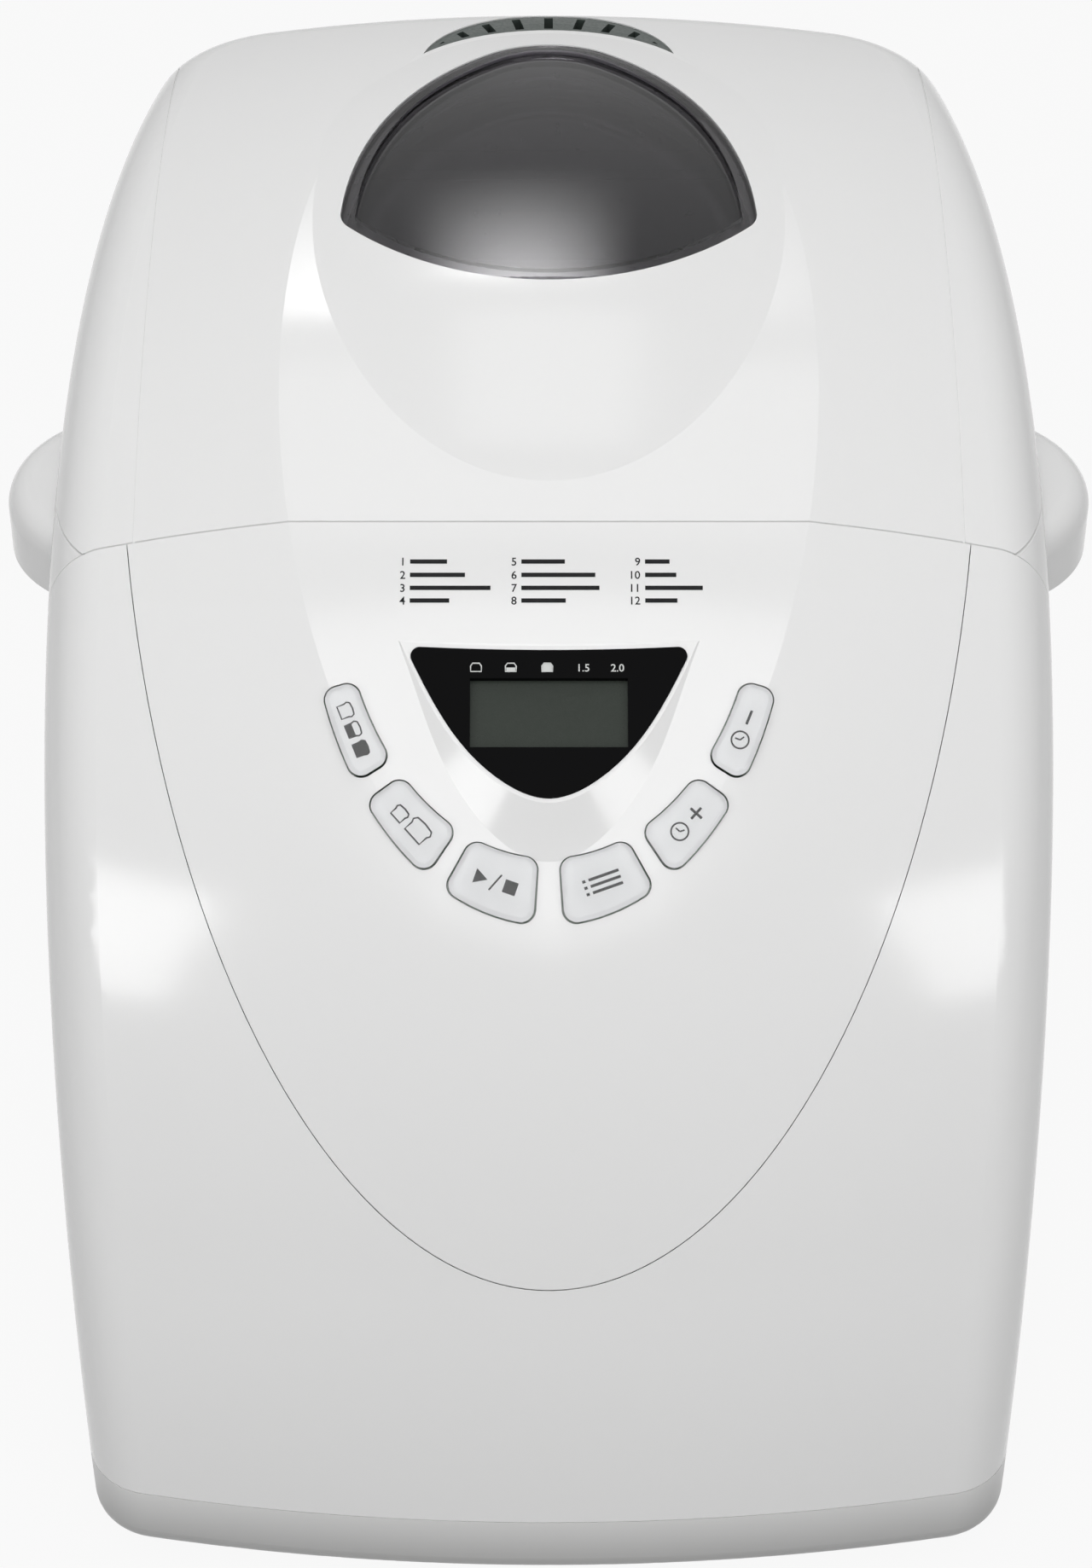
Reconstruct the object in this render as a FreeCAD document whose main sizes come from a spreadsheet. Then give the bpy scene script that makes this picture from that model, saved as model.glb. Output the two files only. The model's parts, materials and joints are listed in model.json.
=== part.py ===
import FreeCAD, Part
import math
import os
import Sketcher

# Table-top bread machine with a barrel-crowned moulded housing, a hinged windowed lid,
# a curved key panel, a lift-out bread pan and a belt-driven kneading paddle.
# Frame: +Z up, front towards -Y, origin at the middle of the footprint on the table.

Vector = FreeCAD.Vector
Rotation = FreeCAD.Rotation
Placement = FreeCAD.Placement

doc = FreeCAD.newDocument("bread_machine")
sizes = doc.addObject("Spreadsheet::Sheet", "sizes")


class Rule:
    """A size or a sum of sizes: its value in mm and its text for the sheet."""

    def __init__(self, value, text):
        self.value = float(value)
        self.text = text

    def __add__(self, other):
        other = rule(other)
        return Rule(self.value + other.value, "(%s + %s)" % (self.text, other.text))

    def __radd__(self, other):
        return rule(other) + self

    def __sub__(self, other):
        other = rule(other)
        return Rule(self.value - other.value, "(%s - %s)" % (self.text, other.text))

    def __rsub__(self, other):
        return rule(other) - self

    def __mul__(self, other):
        other = rule(other)
        return Rule(self.value * other.value, "(%s * %s)" % (self.text, other.text))

    def __rmul__(self, other):
        return rule(other) * self

    def __truediv__(self, other):
        other = rule(other)
        return Rule(self.value / other.value, "(%s / %s)" % (self.text, other.text))

    def __neg__(self):
        return Rule(-self.value, "(0 - %s)" % self.text)

    def __float__(self):
        return self.value


def rule(number):
    if isinstance(number, Rule):
        return number
    return Rule(number, "(%.9g)" % number)


def root(square):
    return Rule(math.sqrt(square.value), "sqrt(%s)" % square.text)


def sine(angle):
    return Rule(math.sin(math.radians(angle.value)), "sin(%s)" % angle.text)


def cosine(angle):
    return Rule(math.cos(math.radians(angle.value)), "cos(%s)" % angle.text)


def size(alias, number):
    row = size.row
    sizes.set("A%d" % row, alias)
    sizes.set("B%d" % row, str(number))
    sizes.setAlias("B%d" % row, alias)
    size.row = row + 1
    return Rule(number, "sizes." + alias)


size.row = 1

# Housing form
body_depth = size("body_depth", 346)
deck_width = size("deck_width", 251.2)
deck_height = size("deck_height", 224)
side_draft = size("side_draft", 1.4)
side_bow_radius = size("side_bow_radius", 1220)
widest_setback = size("widest_setback", 117)
rear_corner_radius = size("rear_corner_radius", 34)
profile_radius = size("profile_radius", 280)
profile_axis_drop = size("profile_axis_drop", 6)
crown_radius = size("crown_radius", 580)
shoulder_radius = size("shoulder_radius", 18)
parting_angle = size("parting_angle", 29.2)
wall = size("wall", 2.6)
seam = size("seam", 0.25)
lid_gap = size("lid_gap", 0.5)
cutter_overrun = size("cutter_overrun", 30)
seat_gap = size("seat_gap", 0.15)
foot_height = size("foot_height", 8)
tray_height = size("tray_height", 19)
tray_edge_radius = size("tray_edge_radius", 6)
tray_floor = size("tray_floor", 3)

# Channel, window dome and key panel
channel_radius = size("channel_radius", 308.6)
channel_depth = size("channel_depth", 3.92)
channel_angle = size("channel_angle", 20)
dome_radius = size("dome_radius", 222)
dome_crown_radius = size("dome_crown_radius", 372)
dome_height = size("dome_height", 5)
dome_angle = size("dome_angle", 10.5)
panel_angle = size("panel_angle", 45)
fascia_half_width = size("fascia_half_width", 107.6)
fascia_half_length = size("fascia_half_length", 249.8)
fascia_reach = size("fascia_reach", 99.8)
ledge_width = size("ledge_width", 6)
groove_width = size("groove_width", 0.6)
groove_depth = size("groove_depth", 0.3)
groove_half_span = size("groove_half_span", 102)

# Display
bezel_slope = size("bezel_slope", 33.3)
bezel_rise = size("bezel_rise", 36.7)
bezel_sink = size("bezel_sink", 0.85)
bezel_half_width = size("bezel_half_width", 34.8)
bezel_half_height = size("bezel_half_height", 19.1)
bezel_thickness = size("bezel_thickness", 1.6)
bezel_proud = size("bezel_proud", 0.5)
bezel_corner_radius = size("bezel_corner_radius", 2.2)
bezel_top_dip = size("bezel_top_dip", 1)
bezel_margin = size("bezel_margin", 1.2)
waist_half_width = size("waist_half_width", 23.8)
waist_drop = size("waist_drop", 1.5)
chin_half_width = size("chin_half_width", 12.4)
chin_drop = size("chin_drop", 13.9)
mound_slope_run = size("mound_slope_run", 21.5)
mound_slope_drop = size("mound_slope_drop", 10)
display_width = size("display_width", 38)
display_height = size("display_height", 17.4)
display_rise = size("display_rise", 2.2)
display_margin = size("display_margin", 2.6)
display_thickness = size("display_thickness", 3.2)
display_inset = size("display_inset", 0.8)

# Keys
key_ring_rise = size("key_ring_rise", 75)
key_inner_half_width = size("key_inner_half_width", 50.8)
key_inner_reach = size("key_inner_reach", 71.4)
key_outer_half_width = size("key_outer_half_width", 58.3)
key_outer_reach = size("key_outer_reach", 87.2)
key_start = size("key_start", 3)
key_pitch = size("key_pitch", 22.7)
key_span = size("key_span", 18.2)
key_proud = size("key_proud", 2.8)
key_corner_radius = size("key_corner_radius", 3.2)
key_edge_radius = size("key_edge_radius", 1.1)
key_clearance = size("key_clearance", 0.4)
key_flange = size("key_flange", 1.5)
key_flange_thickness = size("key_flange_thickness", 1.2)
key_stem_diameter = size("key_stem_diameter", 5)
key_travel_room = size("key_travel_room", 1.5)
board_depth = size("board_depth", 20)
board_thickness = size("board_thickness", 1.6)
board_width = size("board_width", 116)
board_length = size("board_length", 92)
board_rise = size("board_rise", 26)
board_post_diameter = size("board_post_diameter", 7)
board_post_inset = size("board_post_inset", 6)
switch_side = size("switch_side", 6)
switch_height = size("switch_height", 4.4)

# Lid
liner_inset = size("liner_inset", 11)
liner_sheet = size("liner_sheet", 1)
liner_flange = size("liner_flange", 1.6)
window_half_width = size("window_half_width", 53.5)
window_corner_back = size("window_corner_back", 48)
window_front_back = size("window_front_back", 74.5)
window_apex = size("window_apex", 31.5)
window_side_radius = size("window_side_radius", 105)
window_corner_radius = size("window_corner_radius", 7)
window_apex_radius = size("window_apex_radius", 24)
window_gap = size("window_gap", 0.25)
lens_top_inset = size("lens_top_inset", 0.3)
lens_rim = size("lens_rim", 3.4)
lens_recess = size("lens_recess", 1.8)
lens_flange = size("lens_flange", 4)
lens_flange_thickness = size("lens_flange_thickness", 1.8)
pane_thickness = size("pane_thickness", 3)
pane_overlap = size("pane_overlap", 6)
vent_tip_half_width = size("vent_tip_half_width", 34)
vent_tip_back = size("vent_tip_back", 27.8)
vent_inner_back = size("vent_inner_back", 43)
vent_outer_back = size("vent_outer_back", 55)
vent_slot_width = size("vent_slot_width", 2.4)
vent_slot_pitch = size("vent_slot_pitch", 9.5)
vent_gap = size("vent_gap", 0.2)
vent_flange = size("vent_flange", 2)
vent_border = size("vent_border", 1.8)
vent_slots = 9

# Hinge
hinge_setback = size("hinge_setback", 5.6)
hinge_rise = size("hinge_rise", 7)
hinge_lug_radius = size("hinge_lug_radius", 5)
hinge_pin_diameter = size("hinge_pin_diameter", 4)
hinge_pin_clearance = size("hinge_pin_clearance", 0.3)
hinge_half_span = size("hinge_half_span", 64)
hinge_lug_width = size("hinge_lug_width", 11)
hinge_ear_width = size("hinge_ear_width", 7)
hinge_side_gap = size("hinge_side_gap", 0.4)
hinge_lug_length = size("hinge_lug_length", 16)
hinge_ear_length = size("hinge_ear_length", 22)
hinge_root_radius = size("hinge_root_radius", 9)

# Carrying handles
handle_radius = size("handle_radius", 32.8)
handle_reach = size("handle_reach", 17.7)
handle_top = size("handle_top", 211)
handle_thickness = size("handle_thickness", 19)
handle_setback = size("handle_setback", 196)
handle_edge_radius = size("handle_edge_radius", 7)
handle_wall = size("handle_wall", 4)
handle_roof = size("handle_roof", 8)

# Oven chamber and pan
pan_to_rear = size("pan_to_rear", 104.7)
chamber_half_x = size("chamber_half_x", 98)
chamber_half_y = size("chamber_half_y", 83)
chamber_corner = size("chamber_corner", 28)
chamber_floor = size("chamber_floor", 58)
chamber_sheet = size("chamber_sheet", 0.8)
chamber_flange = size("chamber_flange", 9)
collar_thickness = size("collar_thickness", 3)
collar_upstand = size("collar_upstand", 2.4)
pan_half_x = size("pan_half_x", 80)
pan_half_y = size("pan_half_y", 64)
pan_taper = size("pan_taper", 5)
pan_corner = size("pan_corner", 25)
pan_wall = size("pan_wall", 1.5)
pan_bottom = size("pan_bottom", 76)
pan_height = size("pan_height", 129)
pan_rim = size("pan_rim", 2.6)
pan_edge_radius = size("pan_edge_radius", 5)
bail_wire = size("bail_wire", 4)
bail_pivot_drop = size("bail_pivot_drop", 8)
bail_reach = size("bail_reach", 48)
bail_bend = size("bail_bend", 8)
bail_hip_bend = size("bail_hip_bend", 3)
bail_end_gap = size("bail_end_gap", 0.5)
bail_clearance = size("bail_clearance", 0.3)
bail_boss_diameter = size("bail_boss_diameter", 12)
bail_boss_length = size("bail_boss_length", 4.5)
bail_side_gap = size("bail_side_gap", 0.6)
foot_ring_diameter = size("foot_ring_diameter", 90)
foot_ring_wall = size("foot_ring_wall", 3)
lug_reach = size("lug_reach", 4)
lug_height = size("lug_height", 3.5)
lug_span = size("lug_span", 9)
bayonet_clearance = size("bayonet_clearance", 0.6)
socket_sheet = size("socket_sheet", 1.8)
socket_diameter = size("socket_diameter", 124)
socket_bore = size("socket_bore", 60)
hook_wall = size("hook_wall", 3)
hook_roof = size("hook_roof", 3)
hook_span = size("hook_span", 11)
lug_count = 4

# Heater
element_diameter = size("element_diameter", 6.5)
element_half_x = size("element_half_x", 89)
element_half_y = size("element_half_y", 76)
element_corner = size("element_corner", 30)
element_lift = size("element_lift", 34)
element_lead_gap = size("element_lead_gap", 28)
element_lead_bend = size("element_lead_bend", 5)
element_lead_length = size("element_lead_length", 14)
bush_diameter = size("bush_diameter", 11)
bush_length = size("bush_length", 9)
bracket_width = size("bracket_width", 10)
bracket_height = size("bracket_height", 12)
fit_clearance = size("fit_clearance", 0.1)
sensor_diameter = size("sensor_diameter", 8)
sensor_length = size("sensor_length", 16)
sensor_lift = size("sensor_lift", 72)
sensor_offset = size("sensor_offset", 45)

# Drive
chassis_height = size("chassis_height", 42)
chassis_sheet = size("chassis_sheet", 2)
chassis_half_x = size("chassis_half_x", 92)
chassis_front_reach = size("chassis_front_reach", 190)
chassis_rear_reach = size("chassis_rear_reach", 78)
chassis_corner = size("chassis_corner", 12)
post_diameter = size("post_diameter", 11)
post_half_x = size("post_half_x", 80)
post_front_reach = size("post_front_reach", 150)
post_rear_reach = size("post_rear_reach", 66)
screw_diameter = size("screw_diameter", 3.4)
screw_head_diameter = size("screw_head_diameter", 7)
screw_head_height = size("screw_head_height", 2.4)
screw_length = size("screw_length", 12)
standoff_diameter = size("standoff_diameter", 8)
standoff_half_x = size("standoff_half_x", 66)
standoff_half_y = size("standoff_half_y", 55)
belt_centres = size("belt_centres", 146)
shaft_diameter = size("shaft_diameter", 8)
shaft_clearance = size("shaft_clearance", 0.15)
shaft_tail = size("shaft_tail", 16)
bearing_flange_diameter = size("bearing_flange_diameter", 52)
bearing_flange_sheet = size("bearing_flange_sheet", 3)
bearing_tube_diameter = size("bearing_tube_diameter", 24)
bearing_bore = size("bearing_bore", 14)
bearing_top_gap = size("bearing_top_gap", 1)
bearing_spigot = size("bearing_spigot", 5)
bush_height = size("bush_height", 7)
coupler_diameter = size("coupler_diameter", 38)
coupler_disc = size("coupler_disc", 3)
coupler_lift = size("coupler_lift", 0.8)
coupler_room = size("coupler_room", 1.2)
dog_inset = size("dog_inset", 0.5)
dog_height = size("dog_height", 6)
dog_radial = size("dog_radial", 7)
dog_width = size("dog_width", 8)
wing_length = size("wing_length", 30)
wing_width = size("wing_width", 6)
wing_hub_diameter = size("wing_hub_diameter", 14)
wing_height = size("wing_height", 5)
wing_gap = size("wing_gap", 0.5)
pulley_bottom = size("pulley_bottom", 20)
pulley_width = size("pulley_width", 13)
pulley_flange = size("pulley_flange", 1.5)
pulley_flange_lip = size("pulley_flange_lip", 3)
large_pulley_diameter = size("large_pulley_diameter", 92)
large_pulley_rim = size("large_pulley_rim", 5)
large_pulley_web = size("large_pulley_web", 4)
large_pulley_hub = size("large_pulley_hub", 20)
small_pulley_diameter = size("small_pulley_diameter", 18)
belt_gap = size("belt_gap", 0.3)
belt_thickness = size("belt_thickness", 1.6)
belt_side_gap = size("belt_side_gap", 0.5)

# Motor
grommet_diameter = size("grommet_diameter", 12)
grommet_height = size("grommet_height", 5)
motor_diameter = size("motor_diameter", 76)
motor_bore = size("motor_bore", 45)
motor_shaft_opening = size("motor_shaft_opening", 30)
motor_air_gap = size("motor_air_gap", 0.6)
bracket_cup = size("bracket_cup", 9)
bracket_sheet = size("bracket_sheet", 2.5)
stator_height = size("stator_height", 36)
motor_ear_reach = size("motor_ear_reach", 46)
motor_ear_width = size("motor_ear_width", 14)
fan_diameter = size("fan_diameter", 58)
fan_height = size("fan_height", 10)
fan_hub = size("fan_hub", 18)
fan_sheet = size("fan_sheet", 1.8)
fan_gap = size("fan_gap", 1.2)
shaft_top = size("shaft_top", 3)
fan_blades = 8
capacitor_length = size("capacitor_length", 36)
capacitor_width = size("capacitor_width", 18)
capacitor_height = size("capacitor_height", 28)
capacitor_x = size("capacitor_x", 62)

# Paddle
pan_bearing_diameter = size("pan_bearing_diameter", 26)
pan_bearing_height = size("pan_bearing_height", 7)
pan_bearing_spigot = size("pan_bearing_spigot", 15)
pan_bearing_nose = size("pan_bearing_nose", 3)
seal_diameter = size("seal_diameter", 13)
seal_height = size("seal_height", 1.6)
paddle_hub_diameter = size("paddle_hub_diameter", 20)
paddle_hub_height = size("paddle_hub_height", 22)
paddle_hub_taper = size("paddle_hub_taper", 2.75)
paddle_bore_depth = size("paddle_bore_depth", 18.7)
paddle_lift = size("paddle_lift", 0.6)
paddle_length = size("paddle_length", 44)
paddle_height = size("paddle_height", 26)
paddle_thickness = size("paddle_thickness", 6)
paddle_tip_radius = size("paddle_tip_radius", 12)
paddle_fit = size("paddle_fit", 0.12)

# Electrics and feet
power_board_length = size("power_board_length", 70)
power_board_width = size("power_board_width", 44)
power_board_x = size("power_board_x", 70)
power_board_lift = size("power_board_lift", 5)
spacer_diameter = size("spacer_diameter", 6)
transformer_side = size("transformer_side", 26)
transformer_height = size("transformer_height", 22)
relay_length = size("relay_length", 19)
relay_width = size("relay_width", 15)
relay_height = size("relay_height", 15)
smoothing_diameter = size("smoothing_diameter", 12)
smoothing_height = size("smoothing_height", 18)
component_gap = size("component_gap", 4)
inlet_diameter = size("inlet_diameter", 14)
inlet_flange = size("inlet_flange", 4)
inlet_bore = size("inlet_bore", 7)
inlet_x = size("inlet_x", 66)
inlet_height = size("inlet_height", 46)
foot_diameter = size("foot_diameter", 24)
foot_taper = size("foot_taper", 4)
foot_half_x = size("foot_half_x", 84)
foot_front_inset = size("foot_front_inset", 46)
foot_rear_inset = size("foot_rear_inset", 40)
slot_width = size("slot_width", 3)
slot_length = size("slot_length", 46)
slot_pitch = size("slot_pitch", 9)
rear_slot_length = size("rear_slot_length", 40)
rear_slot_height = size("rear_slot_height", 150)
slot_count = 7

# Reference planes of the form
front_y = -(body_depth + hinge_setback + hinge_lug_radius) / 2
rear_y = front_y + body_depth
axis_z = -profile_axis_drop
axis_y = front_y + root(profile_radius * profile_radius
                        - (foot_height + profile_axis_drop) * (foot_height + profile_axis_drop))
parting_y = axis_y - profile_radius * sine(parting_angle)
seam_z = foot_height + tray_height
pan_y = rear_y - pan_to_rear
motor_y = pan_y - belt_centres
chassis_top = chassis_height + chassis_sheet
hinge_y = rear_y + hinge_setback
hinge_z = deck_height + hinge_rise
far = body_depth * 2

nodes = []


def node(item, label):
    item.Label = label
    nodes.append(item)
    return item


def feature(name, shape):
    item = doc.addObject("Part::Feature", name)
    item.Shape = shape
    return item


def bind(item, prop, amount):
    item.setExpression(prop, rule(amount).text)


def place(item, x, y, z):
    bind(item, "Placement.Base.x", x)
    bind(item, "Placement.Base.y", y)
    bind(item, "Placement.Base.z", z)
    return item


def block(name, span_x, span_y, span_z, mid_x, mid_y, low_z):
    item = doc.addObject("Part::Box", name)
    bind(item, "Length", span_x)
    bind(item, "Width", span_y)
    bind(item, "Height", span_z)
    return place(item, rule(mid_x) - rule(span_x) / 2, rule(mid_y) - rule(span_y) / 2, low_z)


def rod(name, diameter, length, x, y, z, turn=None):
    item = doc.addObject("Part::Cylinder", name)
    bind(item, "Radius", rule(diameter) / 2)
    bind(item, "Height", length)
    if turn:
        item.Placement = Placement(Vector(), turn)
    return place(item, x, y, z)


ALONG_X = Rotation(Vector(0, 1, 0), 90)
ALONG_Y = Rotation(Vector(1, 0, 0), -90)


def cut(name, base, tool):
    item = doc.addObject("Part::Cut", name)
    item.Base = base
    item.Tool = tool
    return item


def common(name, first, second):
    item = doc.addObject("Part::Common", name)
    item.Base = first
    item.Tool = second
    return item


def fuse(name, *members):
    item = doc.addObject("Part::MultiFuse", name)
    item.Shapes = list(members)
    return item


def group(name, members):
    item = doc.addObject("Part::Compound", name)
    item.Links = list(members)
    return item


def rounded(name, base, radius, wanted):
    doc.recompute()
    picked = []
    for index, edge in enumerate(base.Shape.Edges):
        middle = edge.valueAt((edge.FirstParameter + edge.LastParameter) / 2)
        if wanted(edge, middle):
            picked.append((index + 1, float(radius), float(radius)))
    item = doc.addObject("Part::Fillet", name)
    item.Base = base
    item.Edges = picked
    return item


def upright(edge, middle):
    span = edge.BoundBox
    return span.ZLength > span.XLength + span.YLength


def tub(name, half_x, half_y, corner, mid_y, low_z, high_z):
    base = block(name + "_block", rule(half_x) * 2, rule(half_y) * 2, rule(high_z) - low_z, 0, mid_y, low_z)
    return rounded(name, base, corner, upright)


def ring(name, outer, inner, height, x, y, z):
    return cut(name, rod(name + "_disc", outer, height, x, y, z),
               rod(name + "_bore", inner, height * 3, x, y, rule(z) - height))


def turned(name, profile, x, y, z):
    """A turned piece: a closed (radius, height) outline spun about its own upright axis."""
    body = doc.addObject("PartDesign::Body", name)
    sketch = body.newObject("Sketcher::SketchObject", name + "_outline")
    plane = [item for item in body.Origin.OriginFeatures if item.Role == "XZ_Plane"][0]
    sketch.AttachmentSupport = [(plane, "")]
    sketch.MapMode = "FlatFace"
    corners = [(rule(radius), rule(height)) for radius, height in profile]
    count = len(corners)
    for index in range(count):
        start = corners[index]
        end = corners[(index + 1) % count]
        sketch.addGeometry(Part.LineSegment(Vector(float(start[0]), float(start[1]), 0),
                                            Vector(float(end[0]), float(end[1]), 0)), False)
    for index in range(count):
        sketch.addConstraint(Sketcher.Constraint("Coincident", index, 2, (index + 1) % count, 1))
    for index, (radius, height) in enumerate(corners):
        if radius.value == 0:
            sketch.addConstraint(Sketcher.Constraint("PointOnObject", index, 1, -2))
        else:
            mark = sketch.addConstraint(Sketcher.Constraint("DistanceX", -1, 1, index, 1, radius.value))
            sketch.setExpression("Constraints[%d]" % mark, radius.text)
        if height.value == 0:
            sketch.addConstraint(Sketcher.Constraint("PointOnObject", index, 1, -1))
        else:
            mark = sketch.addConstraint(Sketcher.Constraint("DistanceY", -1, 1, index, 1, height.value))
            sketch.setExpression("Constraints[%d]" % mark, height.text)
    spin = body.newObject("PartDesign::Revolution", name + "_spin")
    spin.Profile = sketch
    spin.ReferenceAxis = (sketch, ["V_Axis"])
    spin.Angle = 360
    body.Tip = spin
    return place(body, x, y, z)


# The envelope: a barrel with its axis across the machine, trimmed by a drafted plan outline
OVERRUN = float(cutter_overrun)
LOW_Z = -float(foot_height)
HIGH_Z = float(axis_z + profile_radius) + OVERRUN
CLOSE = 0.01
channel_throw = profile_radius - channel_depth - channel_radius
channel_y = axis_y - channel_throw * sine(channel_angle)
channel_z = axis_z + channel_throw * cosine(channel_angle)
dome_throw = channel_radius + dome_height - dome_radius
dome_y = channel_y - dome_throw * sine(dome_angle)
dome_z = channel_z + dome_throw * cosine(dome_angle)


def side_x(y, z):
    """Half width of the drafted, bowed side at a station."""
    bow = float(side_bow_radius)
    offset = y - float(front_y + widest_setback)
    lean = (z - float(deck_height)) * math.tan(math.radians(float(side_draft)))
    return float(deck_width) / 2 + lean - (bow - math.sqrt(bow * bow - offset * offset))


def plan_wire(inset, z):
    bow = float(side_bow_radius) - inset
    corner = float(rear_corner_radius) - inset
    rear = float(rear_y) - inset
    station = float(front_y + widest_setback)
    front = float(front_y) - OVERRUN
    bow_x = side_x(station, z) - inset - bow
    corner_y = rear - corner
    corner_x = bow_x + math.sqrt((bow - corner) ** 2 - (corner_y - station) ** 2)
    leave = math.atan2(corner_y - station, corner_x - bow_x)
    enter = math.asin((front - station) / bow)
    half_way = (enter + leave) / 2
    corner_way = leave / 2 + math.pi / 4
    tip = (bow_x + bow * math.cos(enter), front)
    bulge = (bow_x + bow * math.cos(half_way), station + bow * math.sin(half_way))
    touch = (bow_x + bow * math.cos(leave), station + bow * math.sin(leave))
    round_middle = (corner_x + corner * math.cos(corner_way), corner_y + corner * math.sin(corner_way))
    back = (corner_x, rear)

    def at(spot, side):
        return Vector(side * spot[0], spot[1], z)

    edges = [Part.makeLine(at(tip, -1), at(tip, 1))]
    edges.append(Part.Arc(at(tip, 1), at(bulge, 1), at(touch, 1)).toShape())
    edges.append(Part.Arc(at(touch, 1), at(round_middle, 1), at(back, 1)).toShape())
    edges.append(Part.makeLine(at(back, 1), at(back, -1)))
    edges.append(Part.Arc(at(back, -1), at(round_middle, -1), at(touch, -1)).toShape())
    edges.append(Part.Arc(at(touch, -1), at(bulge, -1), at(tip, -1)).toShape())
    return Part.Wire(edges)


def barrel(radius, crown, mid_y, mid_z):
    reach = float(deck_width) / 2 + OVERRUN
    edge = radius - (crown - math.sqrt(crown * crown - reach * reach))
    left_axis = Vector(-reach, mid_y, mid_z)
    left_rim = Vector(-reach, mid_y, mid_z - edge)
    waist = Vector(0, mid_y, mid_z - radius)
    right_rim = Vector(reach, mid_y, mid_z - edge)
    right_axis = Vector(reach, mid_y, mid_z)
    outline = Part.Wire([Part.makeLine(left_axis, left_rim),
                         Part.Arc(left_rim, waist, right_rim).toShape(),
                         Part.makeLine(right_rim, right_axis),
                         Part.makeLine(right_axis, left_axis)])
    return Part.Face(outline).revolve(Vector(0, mid_y, mid_z), Vector(1, 0, 0), 360)


def plain_form(inset):
    radius = float(profile_radius) - inset
    crown = float(crown_radius) - inset
    mid_y = float(axis_y)
    mid_z = float(axis_z)
    prism = Part.makeLoft([plan_wire(inset, LOW_Z), plan_wire(inset, HIGH_Z)], True, True)
    trimmed = prism.common(barrel(radius, crown, mid_y, mid_z))
    shoulders = []
    for edge in trimmed.Edges:
        spot = edge.valueAt((edge.FirstParameter + edge.LastParameter) / 2)
        skin = radius - crown + math.sqrt(crown * crown - spot.x * spot.x)
        if abs(math.hypot(spot.y - mid_y, spot.z - mid_z) - skin) < CLOSE and spot.z > 0:
            shoulders.append(edge)
    return trimmed.makeFillet(float(shoulder_radius) - inset, shoulders)


def full_form(inset):
    span = float(deck_width) * 2
    channel = Part.makeCylinder(float(channel_radius) - inset, span,
                                Vector(-span / 2, float(channel_y), float(channel_z)), Vector(1, 0, 0))
    dome = barrel(float(dome_radius) - inset, float(dome_crown_radius) - inset, float(dome_y), float(dome_z))
    low = Vector(-float(groove_half_span), float(parting_y) - OVERRUN / 4, float(deck_height) - OVERRUN)
    high_y = float(rear_y - shoulder_radius)
    room = Part.makeBox(2 * float(groove_half_span), high_y - low.y, HIGH_Z - low.z, low)
    return plain_form(inset).common(channel).fuse(dome.common(room))


form_outer = feature("form_outer", full_form(0.0))
form_inner = feature("form_inner", full_form(float(wall)))
form_ledge = feature("form_ledge", full_form(float(wall) * 2))
form_middle = feature("form_middle", full_form(float(wall) / 2))
form_seat = feature("form_seat", full_form(float(wall + seat_gap)))
form_groove = feature("form_groove", full_form(float(groove_depth)))
form_plain = feature("form_plain", plain_form(0.0))
form_plain_inner = feature("form_plain_inner", plain_form(float(wall)))

front_region = block("front_region", far, far, far, 0, parting_y - seam / 2 - far / 2, seam_z + seam)
rear_region = block("rear_region", far, far, deck_height - seam_z - seam, 0,
                    parting_y + seam / 2 + far / 2, seam_z + seam)
lid_region = block("lid_region", far, far, far, 0, parting_y + lid_gap / 2 + far / 2, deck_height + lid_gap)
skin = cut("skin", form_outer, form_inner)

# Panel frame: u across, v up the slope, n out of the panel, on the channel floor
panel_y = channel_y - channel_radius * sine(panel_angle)
panel_z = channel_z + channel_radius * cosine(panel_angle)
panel = Placement(Vector(0, float(panel_y), float(panel_z)), Rotation(Vector(1, 0, 0), float(panel_angle)))
PRISM_DEPTH = float(fascia_reach) / 2
PRISM_LENGTH = float(fascia_reach)


def on_panel(item, u, v, n, turn=None):
    item.Placement = panel.multiply(Placement(Vector(float(u), float(v), float(n)), turn or Rotation()))
    return item


def fascia_prism(name, grow):
    outline = doc.addObject("Part::Ellipse", name + "_outline")
    bind(outline, "MajorRadius", fascia_half_length + grow)
    bind(outline, "MinorRadius", fascia_half_width + grow)
    on_panel(outline, 0, fascia_half_length - fascia_reach, -PRISM_DEPTH, Rotation(Vector(0, 0, 1), 90))
    prism = doc.addObject("Part::Extrusion", name)
    prism.Base = outline
    prism.DirMode = "Custom"
    prism.Dir = panel.Rotation.multVec(Vector(0, 0, 1))
    prism.LengthFwd = PRISM_LENGTH
    prism.Solid = True
    return prism


fascia_plug = fascia_prism("fascia_plug", 0)

# Front housing: side cheeks and apron around the fascia, with a ledge that carries it
front_block = common("front_block", form_outer, front_region)
front_thick = cut("front_thick", front_block, form_ledge)
ledge_ring = cut("ledge_ring", fascia_prism("ledge_outer", ledge_width / 2),
                 fascia_prism("ledge_inner", -ledge_width))
ledge_region = block("ledge_region", far, far, far, 0,
                     parting_y - seam * 2 - collar_upstand - far / 2, seam_z)
ledge_zone = common("ledge_zone", ledge_ring, ledge_region)
front_hollow = cut("front_hollow", form_inner, ledge_zone)
fascia_opening = cut("fascia_opening", fascia_prism("fascia_cutter", seam), form_inner)
node(cut("front_housing_piece", cut("front_skin", front_thick, front_hollow), fascia_opening), "front_housing")

# Control fascia with the display mound, key openings and board posts
bezel = panel.multiply(Placement(Vector(0, float(bezel_rise), -float(bezel_sink)),
                                 Rotation(Vector(1, 0, 0), float(bezel_slope - panel_angle))))
# share of an outline growth taken across and along the slanting lower edge
STEEP = 0.85
SHALLOW = 0.5


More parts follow.
